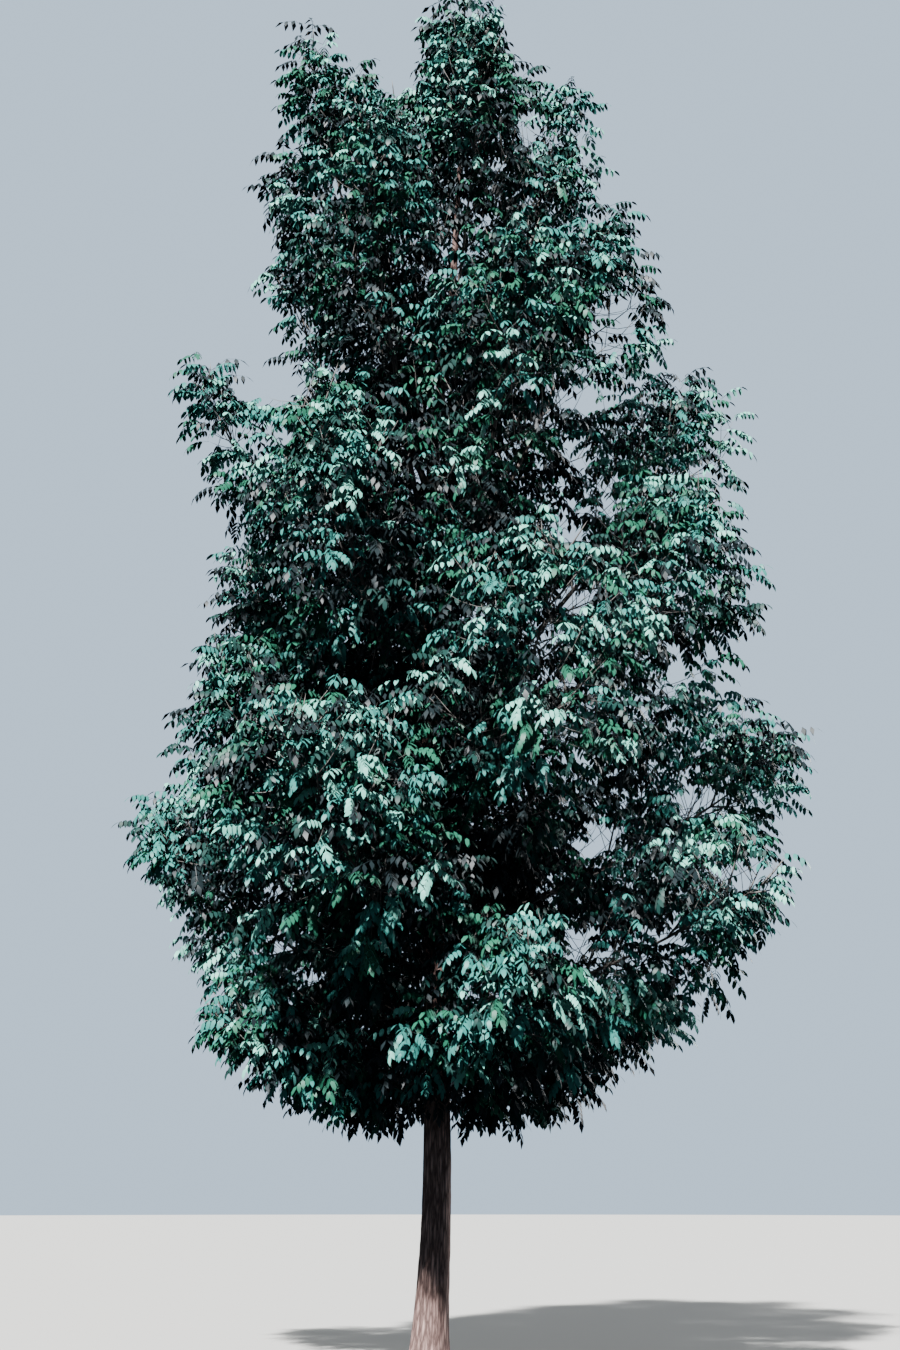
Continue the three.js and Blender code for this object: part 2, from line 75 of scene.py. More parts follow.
Mesh = tuple[np.ndarray, np.ndarray]  # vertices and triangles
TwigRow = tuple[np.ndarray, np.ndarray, float, int]  # foot, direction, length and owner

LOG = logging.getLogger("black_ash")
ROOT_BODY = "root"
UP = np.array([0.0, 0.0, 1.0])
ASIDE = np.array([0.0, 1.0, 0.0])
SLANT = np.array([0.31, 0.17, 0.94])  # helps to find a direction beside any twig
EYE = (0.2, -17.6, 1.6)  # where the photographer stood
QUARTER = math.pi / 2  # a quarter of a turn
TINY = 1e-9  # keeps a length of nothing from being divided by
WORD = 0xFFFFFFFF  # the 32 bits that a whole number is cut to
HAIR_GAP = 0.0003  # between a bough's end and the stem that carries it on
STEM_SHARE = 0.92  # how much of a stem is drawn as wood before its leading shoot takes over


def linear(hex_colour: str) -> tuple[float, float, float, float]:
    """Turns an sRGB colour into the linear colour that a shader takes.

    Args:
        hex_colour: Six hex digits, such as "4f6b5c".

    Returns:
        Red, green, blue and a full alpha.
    """
    parts = [int(hex_colour[i : i + 2], 16) / 255 for i in (0, 2, 4)]
    red, green, blue = (p / 12.92 if p <= 0.04045 else ((p + 0.055) / 1.055) ** 2.4 for p in parts)
    return red, green, blue, 1.0


def unit(vectors: np.ndarray) -> np.ndarray:
    """Scales one vector, or each row of an array of them, to length 1."""
    lengths = np.linalg.norm(vectors, axis=-1, keepdims=True)
    return vectors / np.maximum(lengths, TINY)


def mix(low: float, high: float, share: float) -> float:
    """The value that lies a share of the way from low to high."""
    return low + (high - low) * share


def around(first: np.ndarray, second: np.ndarray, angles: np.ndarray) -> np.ndarray:
    """For each row, the direction at an angle from the first towards the second."""
    return first * np.cos(angles)[:, None] + second * np.sin(angles)[:, None]


def sides_of(directions: np.ndarray) -> tuple[np.ndarray, np.ndarray]:
    """For each row, two directions that are square to it and to each other."""
    beside = unit(np.cross(directions, SLANT))
    return beside, np.cross(directions, beside)


def columns(rows: list[tuple]) -> list[np.ndarray]:
    """Turns rows of several values into one array for each value."""
    return [np.array(column) for column in zip(*rows)]


def add_node(
    tree: bpy.types.NodeTree, kind: str, inputs: dict[str | int, object] | None = None, **settings: object
) -> bpy.types.Node:
    """Adds one node with its settings, its input values and its links.

    Args:
        tree: The node tree that it goes into.
        kind: The node's type name.
        inputs: A value, or the socket to link from, for each input by name or number.
        settings: The node's own properties.

    Returns:
        The new node.
    """
    node = tree.nodes.new(kind)
    for name, value in settings.items():
        setattr(node, name, value)
    for name, value in (inputs or {}).items():
        if isinstance(value, bpy.types.NodeSocket):
            tree.links.new(value, node.inputs[name])
        else:
            node.inputs[name].default_value = value
    return node


def new_material(name: str) -> tuple[bpy.types.Material, bpy.types.NodeTree]:
    """Adds a material with an empty node tree.

    Args:
        name: The material's name.

    Returns:
        The material and its node tree.
    """
    material = bpy.data.materials.new(name)
    material.use_nodes = True
    material.node_tree.nodes.clear()
    return material, material.node_tree


class RandomStream:
    """The repeatable stream of random numbers from 0 to 1 that the solids are grown by."""

    stride = 0x6D2B79F5
    odd_bits = 61

    def __init__(self, seed: int) -> None:
        """Starts the stream at a seed."""
        self.state = seed & WORD

    def draw(self) -> float:
        """Steps on and stirs the bits.

        Returns:
            The next number.
        """
        self.state = (self.state + self.stride) & WORD
        t = self.state
        t = ((t ^ (t >> 15)) * (t | 1)) & WORD
        t ^= (t + (t ^ (t >> 7)) * (t | self.odd_bits)) & WORD
        return ((t ^ (t >> 14)) & WORD) / (WORD + 1)


@dataclass(frozen=True)
class BentLine:
    """A limb's middle line: a quadratic curve that is measured along its length."""

    start: np.ndarray
    elbow: np.ndarray
    end: np.ndarray
    divisions: int = 200
    straight: float = 1e-12

    def point(self, t: np.ndarray | float) -> np.ndarray:
        """The curve's points at its own parameter, from 0 to 1."""
        t = np.asarray(t, float)[..., None]
        return (1 - t) ** 2 * self.start + 2 * (1 - t) * t * self.elbow + t**2 * self.end

    @cached_property
    def travelled(self) -> np.ndarray:
        """The length from the start to each of the divisions."""
        points = self.point(np.linspace(0, 1, self.divisions + 1))
        return np.append(0.0, np.cumsum(np.linalg.norm(np.diff(points, axis=0), axis=1)))

    @property
    def length(self) -> float:
        """The curve's whole length."""
        return float(self.travelled[-1])

    def parameter(self, share: np.ndarray | float) -> np.ndarray:
        """The parameter at a share of the curve's length."""
        target = np.asarray(share) * self.length
        return np.interp(target, self.travelled, np.linspace(0, 1, self.divisions + 1))

    def at(self, share: np.ndarray | float) -> np.ndarray:
        """The curve's points at shares of its length."""
        return self.point(self.parameter(share))

    def tangent(self, share: np.ndarray | float) -> np.ndarray:
        """The curve's direction at shares of its length."""
        t = np.asarray(self.parameter(share))[..., None]
        return unit((1 - t) * (self.elbow - self.start) + t * (self.end - self.elbow))

    def stretch(self, low: float, high: float) -> "BentLine":
        """Takes the part of the curve between two shares of its length.

        Args:
            low: The share where the part starts.
            high: The share where it ends.

        Returns:
            The part, as a curve of its own.
        """
        t0, t1 = self.parameter(low), self.parameter(high)
        first = mix(self.start, self.elbow, t0)
        second = mix(self.elbow, self.end, t0)
        return BentLine(self.point(t0), mix(first, second, t1), self.point(t1))

    def frames(self, segments: int) -> tuple[np.ndarray, np.ndarray, np.ndarray]:
        """Finds directions along, beside and across the curve, carried along it without twist.

        Args:
            segments: How many equal stretches the curve is cut into.

        Returns:
            Tangents, normals and binormals, one row for each end of a stretch.
        """
        tangents = self.tangent(np.linspace(0, 1, segments + 1))
        least = np.zeros(3)
        sizes = np.abs(tangents[0])
        least[2 - int(np.argmin(sizes[::-1]))] = 1
        beside = unit(np.cross(tangents[0], least))
        normals = [np.cross(tangents[0], beside)]
        for before, after in zip(tangents, tangents[1:]):
            normals.append(self._carried(normals[-1], before, after))
        normals = np.array(normals)
        return tangents, normals, np.cross(tangents, normals)

    def _carried(self, normal: np.ndarray, before: np.ndarray, after: np.ndarray) -> np.ndarray:
        """Turns a normal as the curve turns.

        Args:
            normal: The normal to turn.
            before: The tangent that it belongs to.
            after: The next tangent.

        Returns:
            The normal that belongs to the next tangent.
        """
        axis = np.cross(before, after)
        if np.linalg.norm(axis) <= self.straight:
            return normal
        angle = math.acos(float(np.clip(before @ after, -1, 1)))
        axis = unit(axis)
        turned = normal * math.cos(angle) + np.cross(axis, normal) * math.sin(angle)
        return turned + axis * (axis @ normal) * (1 - math.cos(angle))


@dataclass(frozen=True)
class TrunkForm:
    """The trunk's lean, bends, taper and root flare."""

    tree_height: float = 13.9
    breast_height: float = 1.3
    breast_radius: float = 0.135
    taper_power: float = 0.9
    flare_radius: float = 0.062
    flare_height: float = 0.42
    root_lobes: int = 5
    lobe_depth: float = 0.4
    top: float = 11.75
    line_steps: int = 140
    sway: tuple[Triple, ...] = (
        (0.0, 0.0, 0.0),
        (0.076, -0.020, 1.33),
        (0.070, 0.015, 3.2),
        (0.020, 0.040, 5.6),
        (0.025, -0.015, 8.5),
        (0.240, -0.040, 10.7),
        (0.360, 0.0, 13.9),
    )

    @cached_property
    def line(self) -> np.ndarray:
        """Draws a smooth line through the trunk's bends.

        Returns:
            One row for each point.
        """
        rows = np.array(self.sway)
        rows = np.vstack([2 * rows[0] - rows[1], rows, 2 * rows[-1] - rows[-2]])
        spans = len(self.sway) - 1
        places = [spans * step / self.line_steps for step in range(self.line_steps + 1)]
        return np.array([self._bend(rows, place, spans) for place in places])

    @staticmethod
    def _bend(rows: np.ndarray, place: float, spans: int) -> np.ndarray:
        """Finds a point of a curve through every row, its speed eased by the root of each distance.

        Args:
            rows: The places to pass, with one more before the first and one after the last.
            place: How far along the point lies, in spans from row to row.
            spans: How many spans there are.

        Returns:
            The point.
        """
        span = min(int(place), spans - 1)
        t = place - span
        p0, p1, p2, p3 = rows[span : span + 4]
        d0, d1, d2 = (math.sqrt(np.linalg.norm(b - a)) for a, b in ((p0, p1), (p1, p2), (p2, p3)))
        leave = ((p1 - p0) / d0 - (p2 - p0) / (d0 + d1) + (p2 - p1) / d1) * d1
        arrive = ((p2 - p1) / d1 - (p3 - p1) / (d1 + d2) + (p3 - p2) / d2) * d1
        square = -3 * p1 + 3 * p2 - 2 * leave - arrive
        cube = 2 * p1 - 2 * p2 + leave + arrive
        return p1 + leave * t + square * t**2 + cube * t**3

    def middle(self, height: float | np.ndarray) -> np.ndarray:
        """The trunk's middle at one height, or at each of several."""
        axes = [np.interp(height, self.line[:, 2], self.line[:, axis]) for axis in (0, 1)]
        return np.stack([*axes, np.asarray(height, float)], axis=-1)

    def radius(self, height: float) -> float:
        """The trunk's radius without its root flare."""
        share = (self.tree_height - height) / (self.tree_height - self.breast_height)
        return self.breast_radius * max(share, 0.0) ** self.taper_power

    def flare(self, height: float, lobe: float = 0.0) -> float:
        """What the root flare adds, where lobe is 1 on a root's crest and -1 between two roots."""
        fade = math.exp(-height / self.flare_height)
        return self.flare_radius * fade * (1 + self.lobe_depth * fade * lobe)


@dataclass(frozen=True)
class Bough:
    """One bough with the stem that carries it on through its foliage."""

    name: str
    seed: int
    whole: BentLine
    foot_radius: float
    end_radius: float
    girth: float


@dataclass(frozen=True)
class Mass:
    """One mass of foliage: its stem, how wide it grows, and how its outline opens and draws in."""

    name: str
    seed: int
    stem: BentLine
    girth: float
    sparse: bool = False
    start_width: float = 0.7
    full_at: float = 0.25
    end_power: float = 3.2
    bluntness: float = 0.55

    def width(self, share: np.ndarray | float) -> np.ndarray:
        """Finds the mass's half-width.

        Args:
            share: One share of its stem, or several.

        Returns:
            The half-width at each.
        """
        share = np.asarray(share, float)
        opening = mix(self.start_width, 1.0, np.minimum(1, share / self.full_at))
        closing = np.maximum(0, 1 - share**self.end_power) ** self.bluntness
        return self.girth * opening * closing


@dataclass(frozen=True)
class SkyGap:
    """An opening that shows sky from the front: an ellipse on the upright plane through the trunk."""

    side: float
    height: float
    half_width: float
    half_height: float


@dataclass(frozen=True)
class CrownForm:
    """Where the boughs leave the trunk and how far the crown reaches."""

    trunk: TrunkForm
    heights: Row = (3.1, 4.2, 5.1, 5.95, 7.7, 9.7, 10.8, 12.95, 13.5)
    broad: Row = (2.56, 3.43, 3.6, 4.25, 2.8, 3.6, 2.0, 1.8, 1.5)
    narrow: Row = (2.02, 2.56, 3.1, 2.1, 2.05, 2.6, 1.75, 1.45, 1.3)
    depth: Row = (2.15, 2.8, 3.0, 3.05, 2.85, 2.4, 2.05, 1.3, 1.0)
    pairs: tuple[Triple, ...] = (
        (2.45, 3.1, 3.0),
        (2.7, 3.35, 3.6),
        (3.0, 4.2, 5.1),
        (3.4, 5.2, 5.0),
        (3.85, 5.95, 6.4),
        (4.35, 6.8, 7.0),
        (4.85, 7.8, 7.8),
        (5.35, 8.4, 8.7),
        (5.85, 9.85, 9.25),
        (6.35, 10.0, 10.3),
        (6.95, 10.85, 11.25),
        (7.55, 11.7, 11.5),
        (8.2, 13.15, 13.1),
        (8.9, 12.8, 13.4),
    )
    sparse: tuple[str, ...] = ("09_left",)
    sparse_girth: float = 0.62
    side_names: tuple[tuple[str, str], ...] = (("right", "left"), ("front", "back"))
    first_seed: int = 100
    seeds_per_pair: int = 10
    pair_turn: float = 23.0
    elbow_out: float = 0.56
    elbow_up: float = 0.36
    bare_share: float = 0.2
    radius_per_length: float = 0.0125
    bough_to_trunk: float = 0.62
    bough_end: float = 0.62
    girth_share: float = 0.43
    girth_range: Span = (0.78, 1.22)
    leader_seed: int = 7
    leader_girth: float = 0.6
    leader_aim: float = 0.25
    leader_elbow: float = 0.5
    skirt_reaches: Row = (0.0, 1.4, 2.4, 2.9)
    skirt_heights: Row = (1.8, 2.1, 2.85, 3.3)
    top_exposed: Span = (11.3, 13.0)
    airy_heights: Span = (5.5, 8.5)
    airy_sides: Span = (0.2, 1.4)
    side_airiness: float = 0.6
    sky_gaps: tuple[SkyGap, ...] = (
        SkyGap(-0.31, 13.19, 0.28, 0.34),  # dip left of the top
        SkyGap(1.09, 12.37, 0.21, 0.33),  # dip right of the top
        SkyGap(1.88, 10.20, 0.31, 0.36),  # notch right
        SkyGap(1.57, 9.40, 0.35, 0.18),  # under the notch
        SkyGap(-1.55, 9.51, 0.43, 0.26),  # notch left
        SkyGap(-1.94, 8.96, 0.56, 0.15),  # under the thin spray
        SkyGap(1.35, 7.96, 0.26, 0.16),  # inner right one
        SkyGap(1.44, 7.27, 0.32, 0.18),  # inner right three
        SkyGap(1.08, 6.84, 0.22, 0.31),  # inner right four
        SkyGap(1.19, 6.41, 0.27, 0.13),  # inner right six
        SkyGap(1.37, 5.65, 0.29, 0.11),  # inner right eight
        SkyGap(1.63, 4.85, 0.21, 0.23),  # low right one
        SkyGap(2.59, 5.24, 0.25, 0.21),  # between the lobes
        SkyGap(2.93, 4.51, 0.42, 0.17),  # notch low right
    )
    finer_gaps: tuple[SkyGap, ...] = (
        SkyGap(1.82, 8.28, 0.16, 0.26),  # inner right two
        SkyGap(0.49, 7.08, 0.15, 0.14),  # inner right five
        SkyGap(1.07, 5.97, 0.13, 0.22),  # inner right seven
        SkyGap(1.10, 4.38, 0.15, 0.21),  # low right two
        SkyGap(1.44, 3.87, 0.23, 0.22),  # low right three
        SkyGap(2.24, 3.85, 0.19, 0.15),  # low right four
        SkyGap(-1.45, 4.33, 0.13, 0.09),  # low left one
        SkyGap(-1.39, 3.86, 0.16, 0.14),  # low left two
        SkyGap(-1.05, 3.59, 0.21, 0.12),  # low left three
        SkyGap(0.43, 3.39, 0.17, 0.17),  # low middle one
        SkyGap(0.85, 3.35, 0.28, 0.09),  # low middle two
        SkyGap(-0.93, 11.76, 0.12, 0.23),  # upper one
        SkyGap(-0.12, 8.51, 0.14, 0.24),  # upper two
        SkyGap(0.25, 10.81, 0.10, 0.18),  # upper three
        SkyGap(-1.34, 10.15, 0.16, 0.27),  # upper four
        SkyGap(1.46, 8.77, 0.14, 0.19),  # upper five
        SkyGap(0.91, 9.47, 0.15, 0.13),  # upper six
        SkyGap(-0.95, 13.36, 0.12, 0.29),  # between the tips on the left
        SkyGap(-0.22, 13.73, 0.15, 0.25),  # left of the top
        SkyGap(1.02, 13.58, 0.28, 0.44),  # right of the top
        SkyGap(-1.79, 10.06, 0.33, 0.51),  # above the notch left
        SkyGap(3.35, 8.14, 0.20, 0.32),  # outside the right edge
        SkyGap(-2.11, 8.04, 0.30, 0.23),  # below the thin spray
    )

    def reach(self, azimuth: np.ndarray | float, height: np.ndarray | float) -> np.ndarray:
        """Finds how far the crown reaches from the trunk.

        Args:
            azimuth: One direction, or several, as angles from +X.
            height: A height for each.

        Returns:
            The reach for each.
        """
        rows = (self.broad, self.narrow, self.depth)
        broad, narrow, depth = (np.interp(height, self.heights, row) for row in rows)
        across = np.where(np.cos(azimuth) > 0, broad, narrow)
        return 1 / np.hypot(np.cos(azimuth) / across, np.sin(azimuth) / depth)

    def exposure(self, points: np.ndarray) -> np.ndarray:
        """Tells how near points lie to the outside of the crown.

        Args:
            points: One row for each point.

        Returns:
            From 0 at the trunk to 1 at the sides and the top.
        """
        reach = self.reach(np.arctan2(points[:, 1], points[:, 0]), points[:, 2])
        outwards = 1 - self.room(points) / reach
        return np.maximum(outwards, np.interp(points[:, 2], self.top_exposed, (0, 1)))

    def room(self, points: np.ndarray) -> np.ndarray:
        """How far points lie within the crown's sides, less than 0 outside them."""
        reach = self.reach(np.arctan2(points[:, 1], points[:, 0]), points[:, 2])
        return reach - np.hypot(points[:, 0], points[:, 1])

    def airiness(self, points: np.ndarray) -> np.ndarray:
        """Tells how open the foliage is at points.

        Args:
            points: One row for each point.

        Returns:
            0 low on the left, more on the right, and 1 in the upper crown.
        """
        above = np.interp(points[:, 2], self.airy_heights, (0, 1))
        beside = np.interp(points[:, 0], self.airy_sides, (0, self.side_airiness))
        return np.maximum(above, beside)

    def in_gap(self, points: np.ndarray, swell: np.ndarray | float = 1.0) -> np.ndarray:
        """Tells whether points lie in one of the openings, which widen away from the photographer.

        Args:
            points: One row for each point.
            swell: By how much the openings are widened.

        Returns:
            One truth value for each point.
        """
        eye = np.array(EYE)
        away = points - eye
        seen = eye - away * (eye[1] / away[:, 1])[:, None]
        found = np.zeros(len(points), bool)
        for gap in (*self.sky_gaps, *self.finer_gaps):
            across = (seen[:, 0] - gap.side) / gap.half_width
            up = (seen[:, 2] - gap.height) / gap.half_height
            found |= np.hypot(across, up) < swell
        return found

    def underside(self, points: np.ndarray) -> np.ndarray:
        """The height of the crown's lower edge at points: lowest by the trunk and higher further out."""
        return np.interp(np.hypot(points[:, 0], points[:, 1]), self.skirt_reaches, self.skirt_heights)

    def boughs(self) -> list[Bough]:
        """Plans the boughs, in crossed pairs up the trunk.

        Returns:
            The boughs from the lowest pair to the highest.
        """
        planned = []
        for pair, (foot, *tops) in enumerate(self.pairs):
            plane = pair % 2
            turn = -self.pair_turn if (pair // 2) % 2 else self.pair_turn
            for side, top in enumerate(tops):
                azimuth = math.radians(180 * side - 90 * plane + turn)
                name = f"{pair + 1:02d}_{self.side_names[plane][side]}"
                seed = self.first_seed + pair * self.seeds_per_pair + side
                planned.append(self._bough(name, seed, foot, azimuth, top))
        return planned

    def _bough(self, name: str, seed: int, foot_height: float, azimuth: float, top: float) -> Bough:
        """Plans one bough.

        Args:
            name: Its number and side.
            seed: Where its mass's stream of random numbers starts.
            foot_height: Where it leaves the trunk.
            azimuth: Its direction, as an angle from +X.
            top: The height of the tip of its foliage.

        Returns:
            The bough, its whole line drawn from the trunk's middle to that tip.
        """
        reach = float(self.reach(azimuth, top))
        out = np.array([math.cos(azimuth), math.sin(azimuth), 0.0])
        foot = self.trunk.middle(foot_height)
        elbow = foot + out * reach * self.elbow_out + UP * (top - foot_height) * self.elbow_up
        whole = BentLine(foot, elbow, out * reach + UP * top)
        thickest = self.trunk.radius(foot_height) * self.bough_to_trunk
        radius = min(whole.length * self.radius_per_length, thickest)
        girth = float(np.clip(math.hypot(*whole.end[:2]) * self.girth_share, *self.girth_range))
        girth *= self.sparse_girth if name in self.sparse else 1
        return Bough(name, seed, whole, radius, radius * self.bough_end, girth)

    def masses(self, boughs: Iterable[Bough]) -> list[Mass]:
        """Plans the masses of foliage.

        Args:
            boughs: The boughs that carry them.

        Returns:
            One mass for the end of each bough and one for the top of the trunk.
        """
        planned = []
        for bough in boughs:
            stem = bough.whole.stretch(self.bare_share + HAIR_GAP / bough.whole.length, 1.0)
            name = f"foliage_{bough.name}"
            planned.append(Mass(name, bough.seed, stem, bough.girth, bough.name in self.sparse))
        return [*planned, self._leader()]

    def _leader(self) -> Mass:
        """Plans the mass whose stem carries the trunk's own line on to the top.

        Returns:
            The leader's mass.
        """
        trunk = self.trunk
        foot, tip = trunk.middle(trunk.top), trunk.middle(trunk.tree_height)
        rise = tip[2] - foot[2]
        below = trunk.middle(trunk.top - rise * self.leader_aim)
        elbow = foot + unit(foot - below) * rise * self.leader_elbow
        return Mass("foliage_leader", self.leader_seed, BentLine(foot, elbow, tip), self.leader_girth)


@dataclass
class CrownSpace:
    """The space that each mass keeps to: within its own width, and nearer to it than to any other mass."""

    crown: CrownForm
    masses: list[Mass]
    gap: float = 0.014
    overhang: Span = (0.5, 0.3)
    overhang_exposures: Span = (0.55, 0.9)
    overreach: float = 0.16
    gap_core: float = 0.85
    line_steps: int = 12
    batch: int = 1500

    def __post_init__(self) -> None:
        """Cuts every stem into short straight steps."""
        shares = np.linspace(0, 1, self.line_steps + 1)
        lines = np.array([mass.stem.point(shares) for mass in self.masses])
        self.starts = lines[:, :-1]
        self.steps = np.diff(lines, axis=1)
        self.girths = np.array([mass.girth for mass in self.masses])

    def from_stems(self, points: np.ndarray) -> tuple[np.ndarray, np.ndarray]:
        """Finds how far points lie from every stem, and where along it.

        Args:
            points: One row for each point.

        Returns:
            Distances and shares, one row for each point and one column for each mass.
        """
        between = points[:, None, None] - self.starts
        squares = (self.steps**2).sum(-1)
        t = np.clip((between * self.steps).sum(-1) / squares, 0, 1)
        distances = np.linalg.norm(between - t[..., None] * self.steps, axis=-1)
        best = distances.argmin(-1)
        t = np.take_along_axis(t, best[..., None], -1)[..., 0]
        return distances.min(-1), (best + t) / self.line_steps

    def inside(self, owners: np.ndarray, points: np.ndarray, factor: float = 1.0) -> np.ndarray:
        """Tells whether points lie in the spaces of the masses that own them.

        Args:
            owners: The number of each point's mass.
            points: One row for each point.
            factor: By how much the mass's width is widened.

        Returns:
            One truth value for each point.
        """
        if len(points) > self.batch:
            first = self.inside(owners[: self.batch], points[: self.batch], factor)
            return np.append(first, self.inside(owners[self.batch :], points[self.batch :], factor))
        distances, shares = self.from_stems(points)
        rows = np.arange(len(points))
        own, share = distances[rows, owners], shares[rows, owners]
        width = np.zeros(len(points))
        for number in np.unique(owners):
            chosen = owners == number
            width[chosen] = self.masses[number].width(share[chosen])
        girth = self.girths[owners]
        overhang = np.interp(self.crown.exposure(points), self.overhang_exposures, self.overhang)
        near = own <= width * factor + overhang * girth
        rivals = distances - self.girths
        rivals[rows, owners] = np.inf
        nearest = rivals.min(1) > own - girth + 2 * self.gap
        within = (self.crown.room(points) > -self.overreach) & (points[:, 2] >= self.crown.underside(points))
        return near & nearest & within & ~self.crown.in_gap(points, self.gap_core)

    def above_stem(self, owners: np.ndarray, points: np.ndarray) -> np.ndarray:
        """Finds how far points lie above the stem of the mass that owns them.

        Args:
            owners: The number of each point's mass.
            points: One row for each point.

        Returns:
            The heights, as shares of the mass's girth.
        """
        shares = self.from_stems(points)[1][np.arange(len(points)), owners]
        heights = [self.masses[owner].stem.point(share)[2] for owner, share in zip(owners, shares)]
        return (points[:, 2] - np.array(heights)) / self.girths[owners]


@dataclass
class Twigs:
    """Many twigs or shoots as arrays, one row for each.

    They hold where each one starts, where it points, how long it is, how much it turns up towards its end,
    and the number of the mass that owns it.
    """

    feet: np.ndarray
    directions: np.ndarray
    lengths: np.ndarray
    lifts: np.ndarray
    owners: np.ndarray

    def __len__(self) -> int:
        """How many there are."""
        return len(self.feet)

    def at(self, share: np.ndarray | float) -> np.ndarray:
        """Finds a point along each one.

        Args:
            share: One share of the length for all, or one for each.

        Returns:
            One row for each point.
        """
        share = np.broadcast_to(np.asarray(share, float), (len(self),))[:, None]
        run = self.lengths[:, None] * share
        return self.feet + self.directions * run + UP * (self.lifts * self.lengths)[:, None] * share**2

    def heading(self, share: float) -> np.ndarray:
        """Which way each one points at a share of its length."""
        return unit(self.directions + UP * (2 * self.lifts * share)[:, None])

    def only(self, kept: np.ndarray) -> "Twigs":
        """The ones that are kept."""
        return Twigs(*(getattr(self, column.name)[kept] for column in fields(self)))

    @staticmethod
    def joined(groups: list["Twigs"]) -> "Twigs":
        """Several groups as one."""
        arrays = ([getattr(group, column.name) for group in groups] for column in fields(Twigs))
        return Twigs(*map(np.concatenate, arrays))


